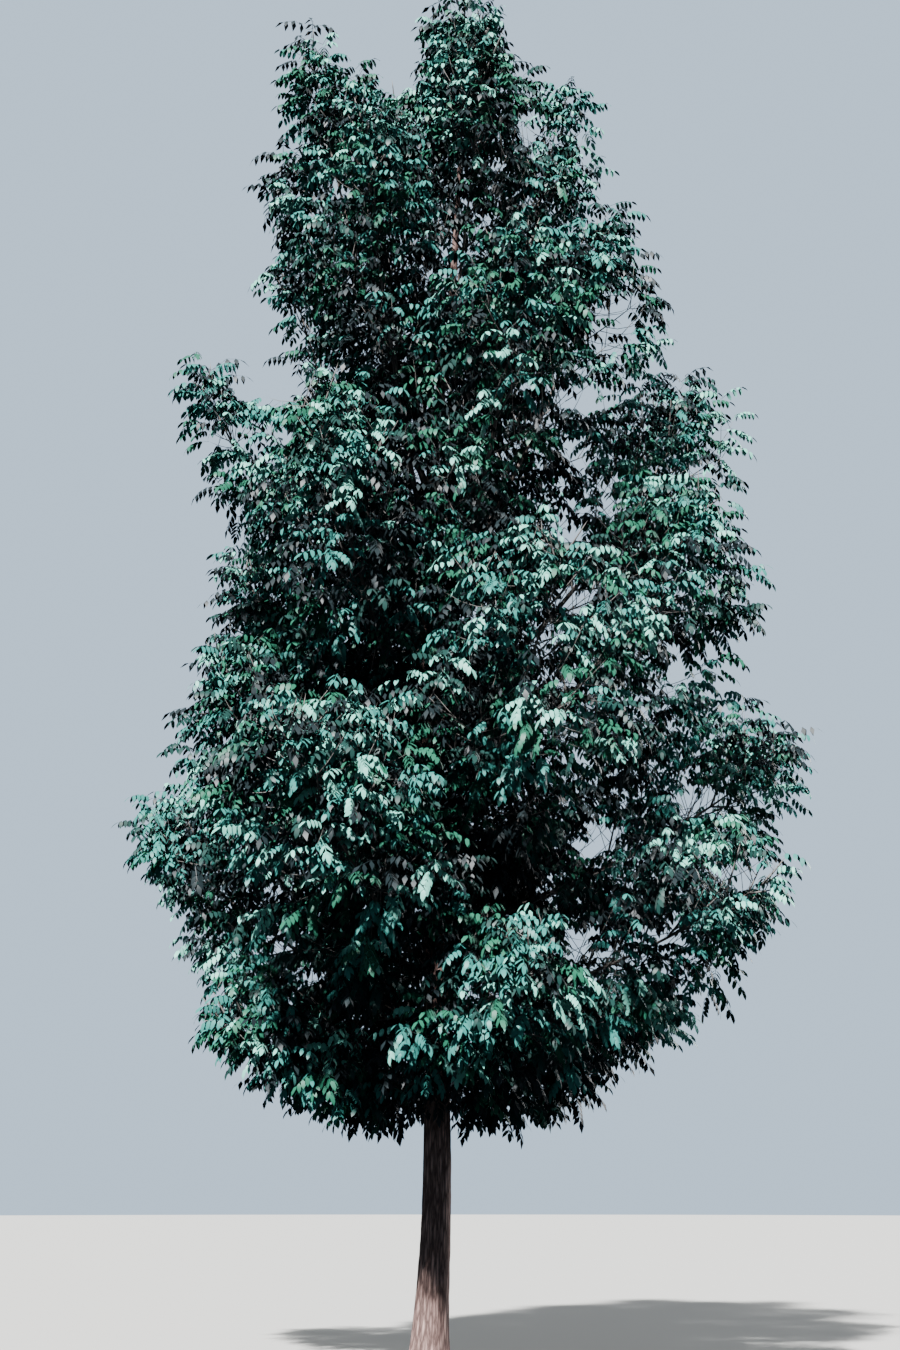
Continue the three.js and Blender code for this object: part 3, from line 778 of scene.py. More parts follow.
@dataclass
class Growth:
    """Grows each mass by the rule of the solids, and carries it on to finer twigs and to leafy shoots."""

    crown: CrownForm
    space: CrownSpace
    boughs: list[Bough]
    source_pairs: int = 5
    rings_per_pair: int = 4
    twig_lean: Span = (66.0, 32.0)
    twig_reach: Span = (0.6, 0.85)
    finer_reach: Span = (0.75, 1.15)
    twig_lift: float = 0.12
    twig_turn_up: float = 0.1
    twig_roll: float = 0.5
    twig_cut: float = 0.8
    cuts: int = 4
    between_rings: tuple[int, ...] = (0, 1, 4, 8, 12, 16, 19)
    foot_lean: float = 45.0
    inner_rings: tuple[int, ...] = (8, 13, 18)
    inner_girth: float = 0.6
    inner_seed: int = 50
    shoot_roots: Row = (0.2, 0.3, 0.4, 0.5, 0.6, 0.7, 0.8, 0.9)
    root_spread: float = 0.05
    shoot_splay: Span = (0.75, 1.3)
    shoot_forward: float = 0.6
    shoot_roll: Span = (0.05, 0.95)
    shoot_length: Span = (0.42, 0.68)
    shortest_shoot: float = 0.14
    end_shoot_at: float = 0.96
    end_shoot_spread: float = 0.25
    lead_overlap: float = 0.03
    lead_stop: float = 0.5
    lift_heights: Row = (2.5, 5.0, 10.0)
    lifts: Row = (0.0, 0.2, 0.4)
    lift_spread: Span = (-0.1, 0.15)
    stem_frames: int = 40
    stem_rings: tuple[int, ...] = (26, 29, 32, 34, 36, 38)
    stem_shoot_lengths: Span = (0.45, 0.16)
    stem_shoot_spread: Span = (0.85, 1.15)
    stem_shoot_heading: Triple = (0.75, 0.65, 0.1)
    clear_of_trunk: float = 0.1
    clear_below: float = 9.0
    leaf_room: float = 0.3
    leaf_drop: float = 0.16
    leaf_factor: float = 1.05
    inner_to_outer: Span = (0.5, 0.8)
    spacing: Span = (0.155, 0.13)
    thinning: Span = (0.55, 0.2)
    seed: int = 2026

    def twigs(self) -> Twigs:
        """Grows the solids' own crossed pairs in every mass, finer pairs between them, and a few inside.

        Returns:
            The twigs of all masses.
        """
        rows = []
        for number, mass in enumerate(self.space.masses):
            rows += self._mass_twigs(number, mass)
        for number, bough in enumerate(self.boughs):
            rows += self._inner_twigs(number, bough)
        feet, directions, lengths, owners = columns(rows)
        return Twigs(feet, directions, lengths, np.full(len(rows), self.twig_turn_up), owners)

    def _mass_twigs(self, number: int, mass: Mass) -> Iterator[TwigRow]:
        """Grows the twigs of one mass.

        Args:
            number: The mass's number.
            mass: The mass.

        Returns:
            Each twig's foot, direction, length and owner.
        """
        frames = mass.stem.frames(self.rings_per_pair * self.source_pairs)
        random = RandomStream(mass.seed)
        halfway = self.rings_per_pair // 2
        rings = [self.rings_per_pair * pair + halfway for pair in range(self.source_pairs)]
        yield from self._crossed_pairs(number, mass, frames, random, rings, self.twig_reach)
        if not mass.sparse:
            yield from self._crossed_pairs(number, mass, frames, random, self.between_rings, self.finer_reach)

    def _inner_twigs(self, number: int, bough: Bough) -> Iterator[TwigRow]:
        """Grows the short twigs on the part of a bough between the trunk and its mass.

        Args:
            number: The number of the bough's mass.
            bough: The bough.

        Returns:
            Each twig's foot, direction, length and owner.
        """
        stem = bough.whole.stretch(0.0, self.crown.bare_share)
        girth = bough.girth * self.inner_girth
        inner = Mass(f"inner_{bough.name}", bough.seed + self.inner_seed, stem, girth, start_width=1.0)
        frames = stem.frames(self.rings_per_pair * self.source_pairs)
        random = RandomStream(inner.seed)
        yield from self._crossed_pairs(number, inner, frames, random, self.inner_rings, self.twig_reach)

    @staticmethod
    def _outwards(frames: tuple[np.ndarray, ...], ring: int, roll: float) -> np.ndarray:
        """The direction away from a stem at one of its rings, rolled round the stem."""
        return frames[1][ring] * math.cos(roll) + frames[2][ring] * math.sin(roll)

    def _crossed_pairs(
        self,
        number: int,
        mass: Mass,
        frames: tuple[np.ndarray, ...],
        random: RandomStream,
        rings: Iterable[int],
        reach: Span,
    ) -> Iterator[TwigRow]:
        """Grows twigs in pairs, each pair crossing the one below it.

        Args:
            number: The number of the mass that owns them.
            mass: The mass that tells their stem and widths.
            frames: The stem's tangents, normals and binormals.
            random: The stream that they are drawn from.
            rings: The frames that they start at.
            reach: The shortest and the longest twig, as shares of the mass's width.

        Returns:
            Each twig's foot, direction, length and owner.
        """
        tangents = frames[0]
        first_roll = random.draw() * math.pi
        for pair, ring in enumerate(rings):
            share = ring / (len(tangents) - 1)
            foot = mass.stem.at(share)
            lean = math.radians(mix(*self.twig_lean, share) + self.foot_lean * (ring == 0))
            for side in (0, 1):
                crossed = first_roll + (pair + 2 * side) * QUARTER
                out = self._outwards(frames, ring, crossed + (random.draw() - 0.5) * self.twig_roll)
                along = unit(tangents[ring] * math.cos(lean) + out * math.sin(lean) + UP * self.twig_lift)
                length = float(mass.width(share)) * mix(*reach, random.draw())
                for _ in range(self.cuts):
                    if self.space.inside(np.array([number]), (foot + along * length)[None])[0]:
                        break
                    length *= self.twig_cut
                yield foot, along, length, number

    def shoots(self, twigs: Twigs) -> Twigs:
        """Grows the leafy shoots on the twigs and at the ends of the stems, evenly spread.

        Args:
            twigs: The twigs that they grow from.

        Returns:
            The shoots that keep to the space of their mass and clear of the trunk.
        """
        random = np.random.default_rng(self.seed)
        groups = [self._end_shoots(twigs, random), self._stem_shoots(random)]
        for number, root in enumerate(self.shoot_roots[::-1]):
            for sign in (-1, 1):
                groups.append(self._side_shoots(twigs, root, number, sign, random))
        grown = Twigs.joined([self._leading_shoots(), self._fitted(Twigs.joined(groups))])
        thinning = np.interp(self.crown.exposure(grown.at(1.0)), self.inner_to_outer, self.thinning)
        thinning = thinning * self.crown.airiness(grown.at(1.0))
        grown = grown.only(random.random(len(grown)) > thinning)
        tips = grown.at(1.0)
        spacing = np.interp(self.crown.exposure(tips), self.inner_to_outer, self.spacing)
        return grown.only(self._spread(tips, spacing))

    def _lifts(self, feet: np.ndarray, random: np.random.Generator) -> np.ndarray:
        """How much new shoots turn up: more the higher they grow."""
        lifts = np.interp(feet[:, 2], self.lift_heights, self.lifts)
        return lifts + random.uniform(*self.lift_spread, len(feet))

    def _new_shoots(
        self, feet: np.ndarray, directions: np.ndarray, owners: np.ndarray, random: np.random.Generator
    ) -> Twigs:
        """New shoots, their lengths drawn by the girth of their mass and their lifts by their height."""
        lengths = self.space.girths[owners] * random.uniform(*self.shoot_length, len(owners))
        return Twigs(feet, directions, lengths, self._lifts(feet, random), owners)

    def _end_shoots(self, twigs: Twigs, random: np.random.Generator) -> Twigs:
        """Grows a shoot that carries each twig on.

        Args:
            twigs: The twigs.
            random: What the shoots are drawn from.

        Returns:
            One shoot for each twig.
        """
        feet = twigs.at(self.end_shoot_at)
        spread = random.uniform(-self.end_shoot_spread, self.end_shoot_spread, feet.shape)
        return self._new_shoots(feet, unit(twigs.heading(1.0) + spread), twigs.owners, random)

    def _leading_shoots(self) -> Twigs:
        """Makes the end of each stem a shoot that stops short, so that its leaves end where the stem would.

        Returns:
            One shoot for each stem.
        """
        stems = [mass.stem for mass in self.space.masses]
        feet = np.array([stem.at(STEM_SHARE - self.lead_overlap) for stem in stems])
        tips = np.array([stem.at(1 - self.lead_stop * (1 - STEM_SHARE)) for stem in stems])
        lengths = np.linalg.norm(tips - feet, axis=1)
        return Twigs(feet, unit(tips - feet), lengths, np.zeros(len(stems)), np.arange(len(stems)))

    def _stem_shoots(self, random: np.random.Generator) -> Twigs:
        """Grows short shoots in crossed pairs along the last stretch of each stem.

        Args:
            random: What their lengths and lifts are drawn from.

        Returns:
            The shoots of all stems.
        """
        ahead, outwards, up = self.stem_shoot_heading
        last = len(self.stem_rings) - 1
        rows = []
        for number, mass in enumerate(self.space.masses):
            frames = mass.stem.frames(self.stem_frames)
            for pair, ring in enumerate(self.stem_rings):
                foot = mass.stem.at(ring / self.stem_frames)
                length = mix(*self.stem_shoot_lengths, pair / last)
                for side in (0, 1):
                    out = self._outwards(frames, ring, mass.seed + (pair + 2 * side) * QUARTER)
                    along = unit(frames[0][ring] * ahead + out * outwards + UP * up)
                    rows.append((foot, along, length, number))
        feet, directions, lengths, owners = columns(rows)
        lengths = lengths * random.uniform(*self.stem_shoot_spread, len(lengths))
        return Twigs(feet, directions, lengths, self._lifts(feet, random), owners)

    def _side_shoots(
        self, twigs: Twigs, root: float, number: int, sign: int, random: np.random.Generator
    ) -> Twigs:
        """Grows one shoot beside each twig, in pairs that cross the pair below.

        Args:
            twigs: The twigs.
            root: Where the shoots start, as a share of each twig's length.
            number: The number of the pair along the twig.
            sign: Which of the pair they are, 1 or -1.
            random: What the shoots are drawn from.

        Returns:
            One shoot for each twig.
        """
        along = twigs.heading(root)
        level = unit(np.cross(along, UP))
        roll = QUARTER * (number % 2) + random.uniform(*self.shoot_roll, len(twigs))
        side = around(level, np.cross(level, along), roll)
        splay = sign * random.uniform(*self.shoot_splay, len(twigs))
        feet = twigs.at(root + random.uniform(-self.root_spread, self.root_spread, len(twigs)))
        directions = unit(along * self.shoot_forward + side * splay[:, None])
        return self._new_shoots(feet, directions, twigs.owners, random)

    def _fitted(self, shoots: Twigs) -> Twigs:
        """Cuts shoots back till their leaves keep to the space of their mass.

        Args:
            shoots: The shoots, whose lengths it changes.

        Returns:
            Those that fit, aren't too short and stand clear of the trunk.
        """
        for _ in range(self.cuts + 1):
            reach = shoots.at(1.0) + shoots.heading(1.0) * self.leaf_room - UP * self.leaf_drop
            outside = ~self.space.inside(shoots.owners, reach, self.leaf_factor)
            shoots.lengths[outside] *= self.twig_cut
        kept = ~outside & (shoots.lengths > self.shortest_shoot)
        tips = shoots.at(1.0)
        middles = self.crown.trunk.middle(tips[:, 2])
        clear = np.linalg.norm(tips - middles, axis=1) > self.crown.trunk.breast_radius + self.clear_of_trunk
        return shoots.only(kept & (clear | (tips[:, 2] > self.clear_below)))

    @staticmethod
    def _spread(tips: np.ndarray, spacing: np.ndarray) -> np.ndarray:
        """Chooses tips so that none is nearer to an earlier one than its own spacing.

        Args:
            tips: One row for each tip.
            spacing: The least distance for each.

        Returns:
            One truth value for each tip.
        """
        taken: dict[tuple[int, ...], list[np.ndarray]] = {}
        kept = np.zeros(len(tips), bool)
        cells = np.floor(tips / spacing.max()).astype(int)
        near = [(x, y, z) for x in (-1, 0, 1) for y in (-1, 0, 1) for z in (-1, 0, 1)]
        for i, (tip, cell) in enumerate(zip(tips, cells)):
            others = (p for x, y, z in near for p in taken.get((cell[0] + x, cell[1] + y, cell[2] + z), ()))
            if all(np.linalg.norm(tip - other) >= spacing[i] for other in others):
                kept[i] = True
                taken.setdefault(tuple(cell), []).append(tip)
        return kept


@dataclass(frozen=True)
class LeafFinish:
    """A living leaf: waxy above, so it takes a soft grey sheen from the sky and no sharp highlight.

    The eye sees satin greens that turn bluish where they face the sky, and no leaf that shines as if wet.
    """

    name: str
    colour: str
    roughness: float = 0.46
    ior: float = 1.43
    sheen: float = 0.12
    sheen_roughness: float = 0.5

    def material(self) -> bpy.types.Material:
        """Makes the leaf's material, of one plain colour.

        Returns:
            The material.
        """
        material, tree = new_material(self.name)
        inputs = {
            "Base Color": linear(self.colour),
            "Roughness": self.roughness,
            "IOR": self.ior,
            "Sheen Weight": self.sheen,
            "Sheen Roughness": self.sheen_roughness,
        }
        shader = add_node(tree, "ShaderNodeBsdfPrincipled", inputs)
        add_node(tree, "ShaderNodeOutputMaterial", {"Surface": shader.outputs["BSDF"]})
        return material


class LeafTone(Enum):
    """The greens of the leaves, which paint light and shade: painted shade for those inside the crown, up to
    painted sunlight and highlight for those that the sun reaches first.
    """

    # Painted light, from the first green to the last: painted deep shade, painted half shade, painted half
    # light, painted sunlight, and painted sunlight with a painted highlight.
    SHADED = LeafFinish("leaf_green_painted_shade", "15272b")
    PAINTED_HALF_SHADE = LeafFinish("leaf_deep_green_painted_half_shade", "16443e")
    MIDDLE = LeafFinish("leaf_middle_green_painted_half_light", "227459")
    PAINTED_SUNLIGHT = LeafFinish("leaf_bluish_green_painted_sunlight", "3e968c")
    PALE = LeafFinish("leaf_pale_green_painted_highlight", "88e2cd")


@dataclass(frozen=True)
class BarkFinish:
    """Young ash bark: pale corky ridges that are dry and matt, with darker furrows between them.

    The eye sees a powdery, pinkish grey that takes no highlight, with fine upright streaks that darken into
    furrows.
    """

    name: str
    ridge: str
    patch: str
    furrow: str
    furrow_attribute: str = "furrow"
    patch_size: float = 0.07
    patch_detail: float = 3.0
    patch_blend: Span = (0.35, 0.65)
    grain_size: float = 0.006
    grain_detail: float = 2.0
    grain_stretch: float = 9.0
    grain_depth: float = 0.0012
    grain_share: float = 0.5
    bump_strength: float = 0.5
    furrow_range: Span = (0.6, 1.2)
    roughness: float = 0.88

    def material(self) -> bpy.types.Material:
        """Makes the bark's material, whose furrows follow the mesh's own.

        Returns:
            The material.
        """
        material, tree = new_material(self.name)
        place = add_node(tree, "ShaderNodeTexCoord").outputs["Object"]
        inputs = {"Vector": place, "Scale": (1.0, 1.0, 1 / self.grain_stretch)}
        tall = add_node(tree, "ShaderNodeMapping", inputs).outputs["Vector"]
        noises = []
        for size, detail in ((self.patch_size, self.patch_detail), (self.grain_size, self.grain_detail)):
            inputs = {"Vector": tall, "Scale": 1 / size, "Detail": detail}
            noises.append(add_node(tree, "ShaderNodeTexNoise", inputs).outputs["Fac"])
        patches, grain = noises
        low, high = self.patch_blend
        inputs = {"Value": patches, "From Min": low, "From Max": high}
        blend = add_node(tree, "ShaderNodeMapRange", inputs).outputs["Result"]
        inputs = {"Factor": blend, "A": linear(self.ridge), "B": linear(self.patch)}
        pale = add_node(tree, "ShaderNodeMix", inputs, data_type="RGBA").outputs["Result"]
        furrow = add_node(tree, "ShaderNodeAttribute", attribute_name=self.furrow_attribute).outputs["Fac"]
        inputs = {0: grain, 1: self.grain_share, 2: furrow}
        speckled = add_node(tree, "ShaderNodeMath", inputs, operation="MULTIPLY_ADD").outputs["Value"]
        shallow, deep = self.furrow_range
        inputs = {"Value": speckled, "From Min": shallow, "From Max": deep}
        depth = add_node(tree, "ShaderNodeMapRange", inputs).outputs["Result"]
        inputs = {"Factor": depth, "A": pale, "B": linear(self.furrow)}
        colour = add_node(tree, "ShaderNodeMix", inputs, data_type="RGBA").outputs["Result"]
        inputs = {"Height": grain, "Strength": self.bump_strength, "Distance": self.grain_depth}
        bump = add_node(tree, "ShaderNodeBump", inputs).outputs["Normal"]
        inputs = {"Base Color": colour, "Roughness": self.roughness, "Normal": bump}
        shader = add_node(tree, "ShaderNodeBsdfPrincipled", inputs)
        add_node(tree, "ShaderNodeOutputMaterial", {"Surface": shader.outputs["BSDF"]})
        return material


@dataclass(frozen=True)
class TwigFinish:
    """Twig bark: smooth but dry, so the eye sees a dull grey line with no highlight."""

    name: str = "twig_bark"
    colour: str = "8a8682"
    roughness: float = 0.8

    def material(self) -> bpy.types.Material:
        """Makes the twigs' material, of one plain colour.

        Returns:
            The material.
        """
        material, tree = new_material(self.name)
        inputs = {"Base Color": linear(self.colour), "Roughness": self.roughness}
        shader = add_node(tree, "ShaderNodeBsdfPrincipled", inputs)
        add_node(tree, "ShaderNodeOutputMaterial", {"Surface": shader.outputs["BSDF"]})
        return material


@dataclass(frozen=True)
class FloorFinish:
    """A painted studio floor: matt and faintly uneven, so that it takes soft shadows and no mirror image."""

    name: str = "pale_floor"
    colour: str = "d9d8d3"
    roughness: Span = (0.8, 0.95)
    mottle_scale: float = 0.6
    mottle_detail: float = 4.0

    def material(self) -> bpy.types.Material:
        """Makes the floor's material.

        Returns:
            The material.
        """
        material, tree = new_material(self.name)
        place = add_node(tree, "ShaderNodeTexCoord").outputs["Object"]
        inputs = {"Vector": place, "Scale": self.mottle_scale, "Detail": self.mottle_detail}
        mottle = add_node(tree, "ShaderNodeTexNoise", inputs).outputs["Fac"]
        least, most = self.roughness
        inputs = {"Value": mottle, "To Min": least, "To Max": most}
        rough = add_node(tree, "ShaderNodeMapRange", inputs).outputs["Result"]
        inputs = {"Base Color": linear(self.colour), "Roughness": rough}
        shader = add_node(tree, "ShaderNodeBsdfPrincipled", inputs)
        add_node(tree, "ShaderNodeOutputMaterial", {"Surface": shader.outputs["BSDF"]})
        return material


def deselect_all() -> None:
    """Deselects every object."""
    bpy.ops.object.select_all(action="DESELECT")


def start_disc(name: str, sides: int, radius: float, place: Iterable[float]) -> bpy.types.Object:
    """Adds a filled circle that a piece starts from, and opens it for editing.

    Args:
        name: The piece's name.
        sides: How many sides the circle has.
        radius: The circle's radius.
        place: Its middle.

    Returns:
        The new object.
    """
    deselect_all()
    bpy.ops.mesh.primitive_circle_add(vertices=sides, radius=radius, fill_type="NGON", location=place)
    piece = bpy.context.active_object
    piece.name = name
    bpy.ops.object.mode_set(mode="EDIT")
    return piece


def widen(factor: float, middle: Iterable[float]) -> None:
    """Makes what is selected wider or narrower about a middle, and no taller."""
    bpy.ops.transform.resize(value=(factor, factor, 1), center_override=tuple(middle))


def draw_ring(shift: Iterable[float], factor: float, middle: Iterable[float]) -> None:
    """Draws the next ring out of the selected one by a shift, and widens it about its middle."""
    bpy.ops.mesh.extrude_region_move(TRANSFORM_OT_translate={"value": tuple(shift)})
    widen(factor, middle)


def apply_modifiers(piece: bpy.types.Object) -> None:
    """Applies a piece's modifiers in their order.

    Args:
        piece: The piece.
    """
    deselect_all()
    piece.select_set(True)
    bpy.context.view_layer.objects.active = piece
    for modifier in list(piece.modifiers):
        bpy.ops.object.modifier_apply(modifier=modifier.name)


def round_off(piece: bpy.types.Object, levels: int) -> None:
    """Ends the editing of a piece and rounds it by dividing its faces.

    Args:
        piece: The piece.
        levels: How many times its faces are divided.
    """
    bpy.ops.object.mode_set(mode="OBJECT")
    rounded = piece.modifiers.new("rounded", "SUBSURF")
    rounded.levels = rounded.render_levels = levels
    apply_modifiers(piece)


def rows_of(values: bpy.types.bpy_prop_collection, what: str) -> np.ndarray:
    """Reads a property of three numbers.

    Args:
        values: The vertices or the normals of a mesh.
        what: The property's name.

    Returns:
        One row for each.
    """
    rows = np.zeros(len(values) * 3, np.float32)
    values.foreach_get(what, rows)
    return rows.reshape(-1, 3)


@dataclass(frozen=True)
class BarkRelief:
    """The ridges of the bark, pressed into a limb's mesh, and the note of how deep each point lies."""

    ridge_width: float
    ridge_height_share: float
    depth: float
    cell_weights: Span = (-1.0, 1.0)
    contrast: float = 1.4
    still_level: float = 0.6
    furrow_depths: Span = (-0.6, 0.1)

    def press(self, piece: bpy.types.Object) -> None:
        """Displaces a limb's mesh by tall interlaced cells and keeps the furrows' depth from 0 to 1.

        Args:
            piece: The limb.
        """
        deselect_all()
        bpy.ops.object.empty_add(location=(0, 0, 0))
        guide = bpy.context.active_object
        guide.scale = (1.0, 1.0, self.ridge_height_share)
        ridges = bpy.data.textures.new("bark_ridges", "VORONOI")
        ridges.noise_scale = self.ridge_width
        ridges.weight_1, ridges.weight_2 = self.cell_weights
        ridges.noise_intensity = self.contrast
        before, normals = rows_of(piece.data.vertices, "co"), rows_of(piece.data.vertex_normals, "vector")
        modifier = piece.modifiers.new("ridges", "DISPLACE")
        modifier.texture = ridges
        modifier.texture_coords = "OBJECT"
        modifier.texture_coords_object = guide
        modifier.mid_level = self.still_level
        modifier.strength = self.depth
        apply_modifiers(piece)
        moved = ((rows_of(piece.data.vertices, "co") - before) * normals).sum(1)
        low, high = (share * self.depth for share in self.furrow_depths)
        furrow = np.clip((high - moved) / (high - low), 0, 1)
        attribute = piece.data.attributes.new("furrow", "FLOAT", "POINT")
        attribute.data.foreach_set("value", furrow.astype(np.float32))
        bpy.data.objects.remove(guide)


@dataclass
class TrunkPiece:
    """The trunk: rings drawn up from the ground along its bends, with its root flare and bark relief."""

    form: TrunkForm
    leader: BentLine
    sides: int = 40
    rings: int = 54
    ring_power: float = 1.4
    tip_radius: float = 0.004
    below_cut: float = 0.04
    roundings: int = 2
    least_swell: float = 0.001
    flanks: tuple[int, ...] = (-2, -1, 1, 2)  # eighths of a wave, from the hollow to the root's crest
    ring_slack: float = 1e-4
    flank_slack: float = 0.02
    finish: BarkFinish = BarkFinish("bole_bark", "f2cabf", "dab3a9", "6f5752")
    relief: BarkRelief = BarkRelief(ridge_width=0.026, ridge_height_share=9.0, depth=0.009)

    def build(self) -> bpy.types.Object:
        """Models the trunk from a circle that is extruded and sized ring by ring.

        Returns:
            The trunk.
        """
        before = self._middle(0.0) - UP * self.below_cut
        radius = self._radius(0.0)
        piece = start_disc("trunk_bark", self.sides, radius, before)
        for height in self._ring_heights():
            middle, size = self._middle(height), self._radius(height)
            draw_ring(middle - before, size / radius, middle)
            before, radius = middle, size
        self._shape_roots(piece)
        round_off(piece, self.roundings)
        self.relief.press(piece)
        self._cut_at_ground()
        bpy.ops.object.transform_apply()
        bpy.ops.object.shade_smooth()
        return piece

    def _ring_heights(self) -> list[float]:
        """The heights of the rings, which lie closer together near the ground."""
        shares = np.linspace(0, 1, self.rings + 1)
        return [self.form.tree_height * share**self.ring_power for share in shares]

    def _middle(self, height: float) -> np.ndarray:
        """Finds the trunk's middle, which follows the leader's stem above the trunk's own top.

        Args:
            height: The height above the ground.

        Returns:
            The middle.
        """
        if height <= self.form.top:
            return self.form.middle(height)
        rise = self.leader.end[2] - self.leader.start[2]
        return self.leader.at((height - self.leader.start[2]) / rise)

    def _radius(self, height: float) -> float:
        """The trunk's mean radius, with its flare and a fine tip."""
        return max(self.form.radius(height) + self.form.flare(height), self.tip_radius)

    def _shape_roots(self, piece: bpy.types.Object) -> None:
        """Pulls the crests of the roots out and the hollows between them in, ring by ring.

        Args:
            piece: The trunk, open for editing.
        """
        for height in self._ring_heights():
            swell = self.form.flare(height, 1) - self.form.flare(height)
            if swell < self.least_swell:
                break
            middle, radius = self._middle(height), self._radius(height)
            for step in self.flanks:
                lobe = math.sin(step * QUARTER / 2)
                self._select_flank(piece, middle, lobe)
                widen(1 + swell * lobe / radius, middle)
        bpy.ops.mesh.select_all(action="DESELECT")

    def _select_flank(self, piece: bpy.types.Object, middle: np.ndarray, lobe: float) -> None:
        """Selects the points of one ring that lie as far round from a root's crest as lobe says.

        Args:
            piece: The trunk, open for editing.
            middle: The ring's middle. The lowest ring takes the one under the ground with it.
            lobe: 1 on a root's crest, -1 between two roots.
        """
        bpy.ops.object.mode_set(mode="OBJECT")
        places = rows_of(piece.data.vertices, "co") + np.array(piece.location)
        around_trunk = np.arctan2(places[:, 1] - middle[1], places[:, 0] - middle[0])
        height = float(middle[2])
        low = height - (self.below_cut if height == 0 else 0.0) - self.ring_slack
        chosen = (places[:, 2] > low) & (places[:, 2] < height + self.ring_slack)
        chosen &= np.abs(np.cos(self.form.root_lobes * around_trunk) - lobe) < self.flank_slack
        for part in (piece.data.vertices, piece.data.edges, piece.data.polygons):
            part.foreach_set("select", np.zeros(len(part), bool))
        piece.data.vertices.foreach_set("select", chosen)
        bpy.ops.object.mode_set(mode="EDIT")

    @staticmethod
    def _cut_at_ground() -> None:
        """Cuts the trunk flat at the ground and closes it there."""
        bpy.ops.object.mode_set(mode="EDIT")
        bpy.ops.mesh.select_all(action="SELECT")
        bpy.ops.mesh.bisect(plane_co=(0, 0, 0), plane_no=(0, 0, 1), use_fill=True, clear_inner=True)
        bpy.ops.object.mode_set(mode="OBJECT")

    def dress(self, piece: bpy.types.Object) -> None:
        """Gives the trunk its bark and its place on the tree's body.

        Args:
            piece: The trunk.
        """
        piece.data.materials.append(self.finish.material())
        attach(piece, ROOT_BODY)
        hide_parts("trunk")


@dataclass
class BoughPiece:
    """All the boughs with the stems that carry them on through their foliage, as one joined piece."""

    boughs: list[Bough]
    form: CrownForm
    sides: int = 8
    rings: int = 22
    tip_radius: float = 0.005
    collar: float = 0.35
    collar_length: float = 0.16
    roundings: int = 1
    bend_steps: int = 48
    handle_share: float = 2 / 3
    finish: BarkFinish = BarkFinish("bough_bark", "e0d0c8", "c6b5ad", "857872", patch_size=0.05)
    relief: BarkRelief = BarkRelief(ridge_width=0.03, ridge_height_share=4.0, depth=0.003)

    def build(self) -> bpy.types.Object:
        """Models every bough and joins them.

        Returns:
            The boughs.
        """
        pieces = [self._limb(bough) for bough in self.boughs]
        deselect_all()
        for piece in pieces:
            piece.select_set(True)
        bpy.context.view_layer.objects.active = pieces[0]
        bpy.ops.object.join()
        joined = bpy.context.active_object
        joined.name = "bough_bark"
        bpy.ops.object.shade_smooth()
        return joined

    def _radius(self, bough: Bough, share: float) -> float:
        """Finds a bough's radius: the solid's taper, then the stem's, with a collar at the trunk.

        Args:
            bough: The bough.
            share: The share of its whole line.

        Returns:
            The radius.
        """
        bare = self.form.bare_share
        if share < bare:
            radius = mix(bough.foot_radius, bough.end_radius, share / bare)
        else:
            radius = mix(bough.end_radius, self.tip_radius, (share - bare) / (1 - bare))
        trunk_edge = self.form.trunk.radius(float(bough.whole.start[2]))
        past = max(share * bough.whole.length - trunk_edge, 0.0)
        return radius * (1 + self.collar * math.exp(-past / self.collar_length))

    def _limb(self, bough: Bough) -> bpy.types.Object:
        """Models one bough: a straight tapering limb, grown ring by ring and then bent.

        Args:
            bough: The bough.

        Returns:
            The limb.
        """
        radius = self._radius(bough, 0.0)
        piece = start_disc(f"bough_{bough.name}_bark", self.sides, radius, (0, 0, 0))
        drawn = mix(self.form.bare_share, 1.0, STEM_SHARE)
        step = bough.whole.length * drawn / self.rings
        for ring in range(1, self.rings + 1):
            size = self._radius(bough, drawn * ring / self.rings)
            draw_ring((0, 0, step), size / radius, (0, 0, ring * step))
            radius = size
        round_off(piece, self.roundings)
        self.relief.press(piece)
        self._bend(piece, bough.whole)
        return piece

    def _bend(self, piece: bpy.types.Object, line: BentLine) -> None:
        """Bends a straight limb along its bough's line.

        Args:
            piece: The limb.
            line: The bough's whole line.
        """
        deselect_all()
        bpy.ops.curve.primitive_bezier_curve_add(location=(0, 0, 0))
        guide = bpy.context.active_object
        guide.data.dimensions = "3D"
        guide.data.twist_mode = "MINIMUM"
        guide.data.resolution_u = self.bend_steps
        first, last = guide.data.splines[0].bezier_points
        for point in (first, last):
            point.handle_left_type = point.handle_right_type = "FREE"
        first.co, last.co = Vector(line.start), Vector(line.end)
        first.handle_right = Vector(mix(line.start, line.elbow, self.handle_share))
        last.handle_left = Vector(mix(line.end, line.elbow, self.handle_share))
        first.handle_left = 2 * first.co - first.handle_right
        last.handle_right = 2 * last.co - last.handle_left
        modifier = piece.modifiers.new("bent", "CURVE")
        modifier.object = guide
        modifier.deform_axis = "POS_Z"
        apply_modifiers(piece)
        bpy.data.objects.remove(guide)

    def dress(self, piece: bpy.types.Object) -> None:
        """Gives the boughs their bark and their place on the tree's body.

        Args:
            piece: The boughs.
        """
        piece.data.materials.append(self.finish.material())
        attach(piece, ROOT_BODY)
        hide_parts(*(f"bough_{bough.name}" for bough in self.boughs))


def copied(faces: np.ndarray, copies: int, size: int) -> np.ndarray:
    """The triangles of copies of a mesh, one after another, where each copy has size vertices."""
    return (faces[None] + (np.arange(copies) * size)[:, None, None]).reshape(-1, 3)


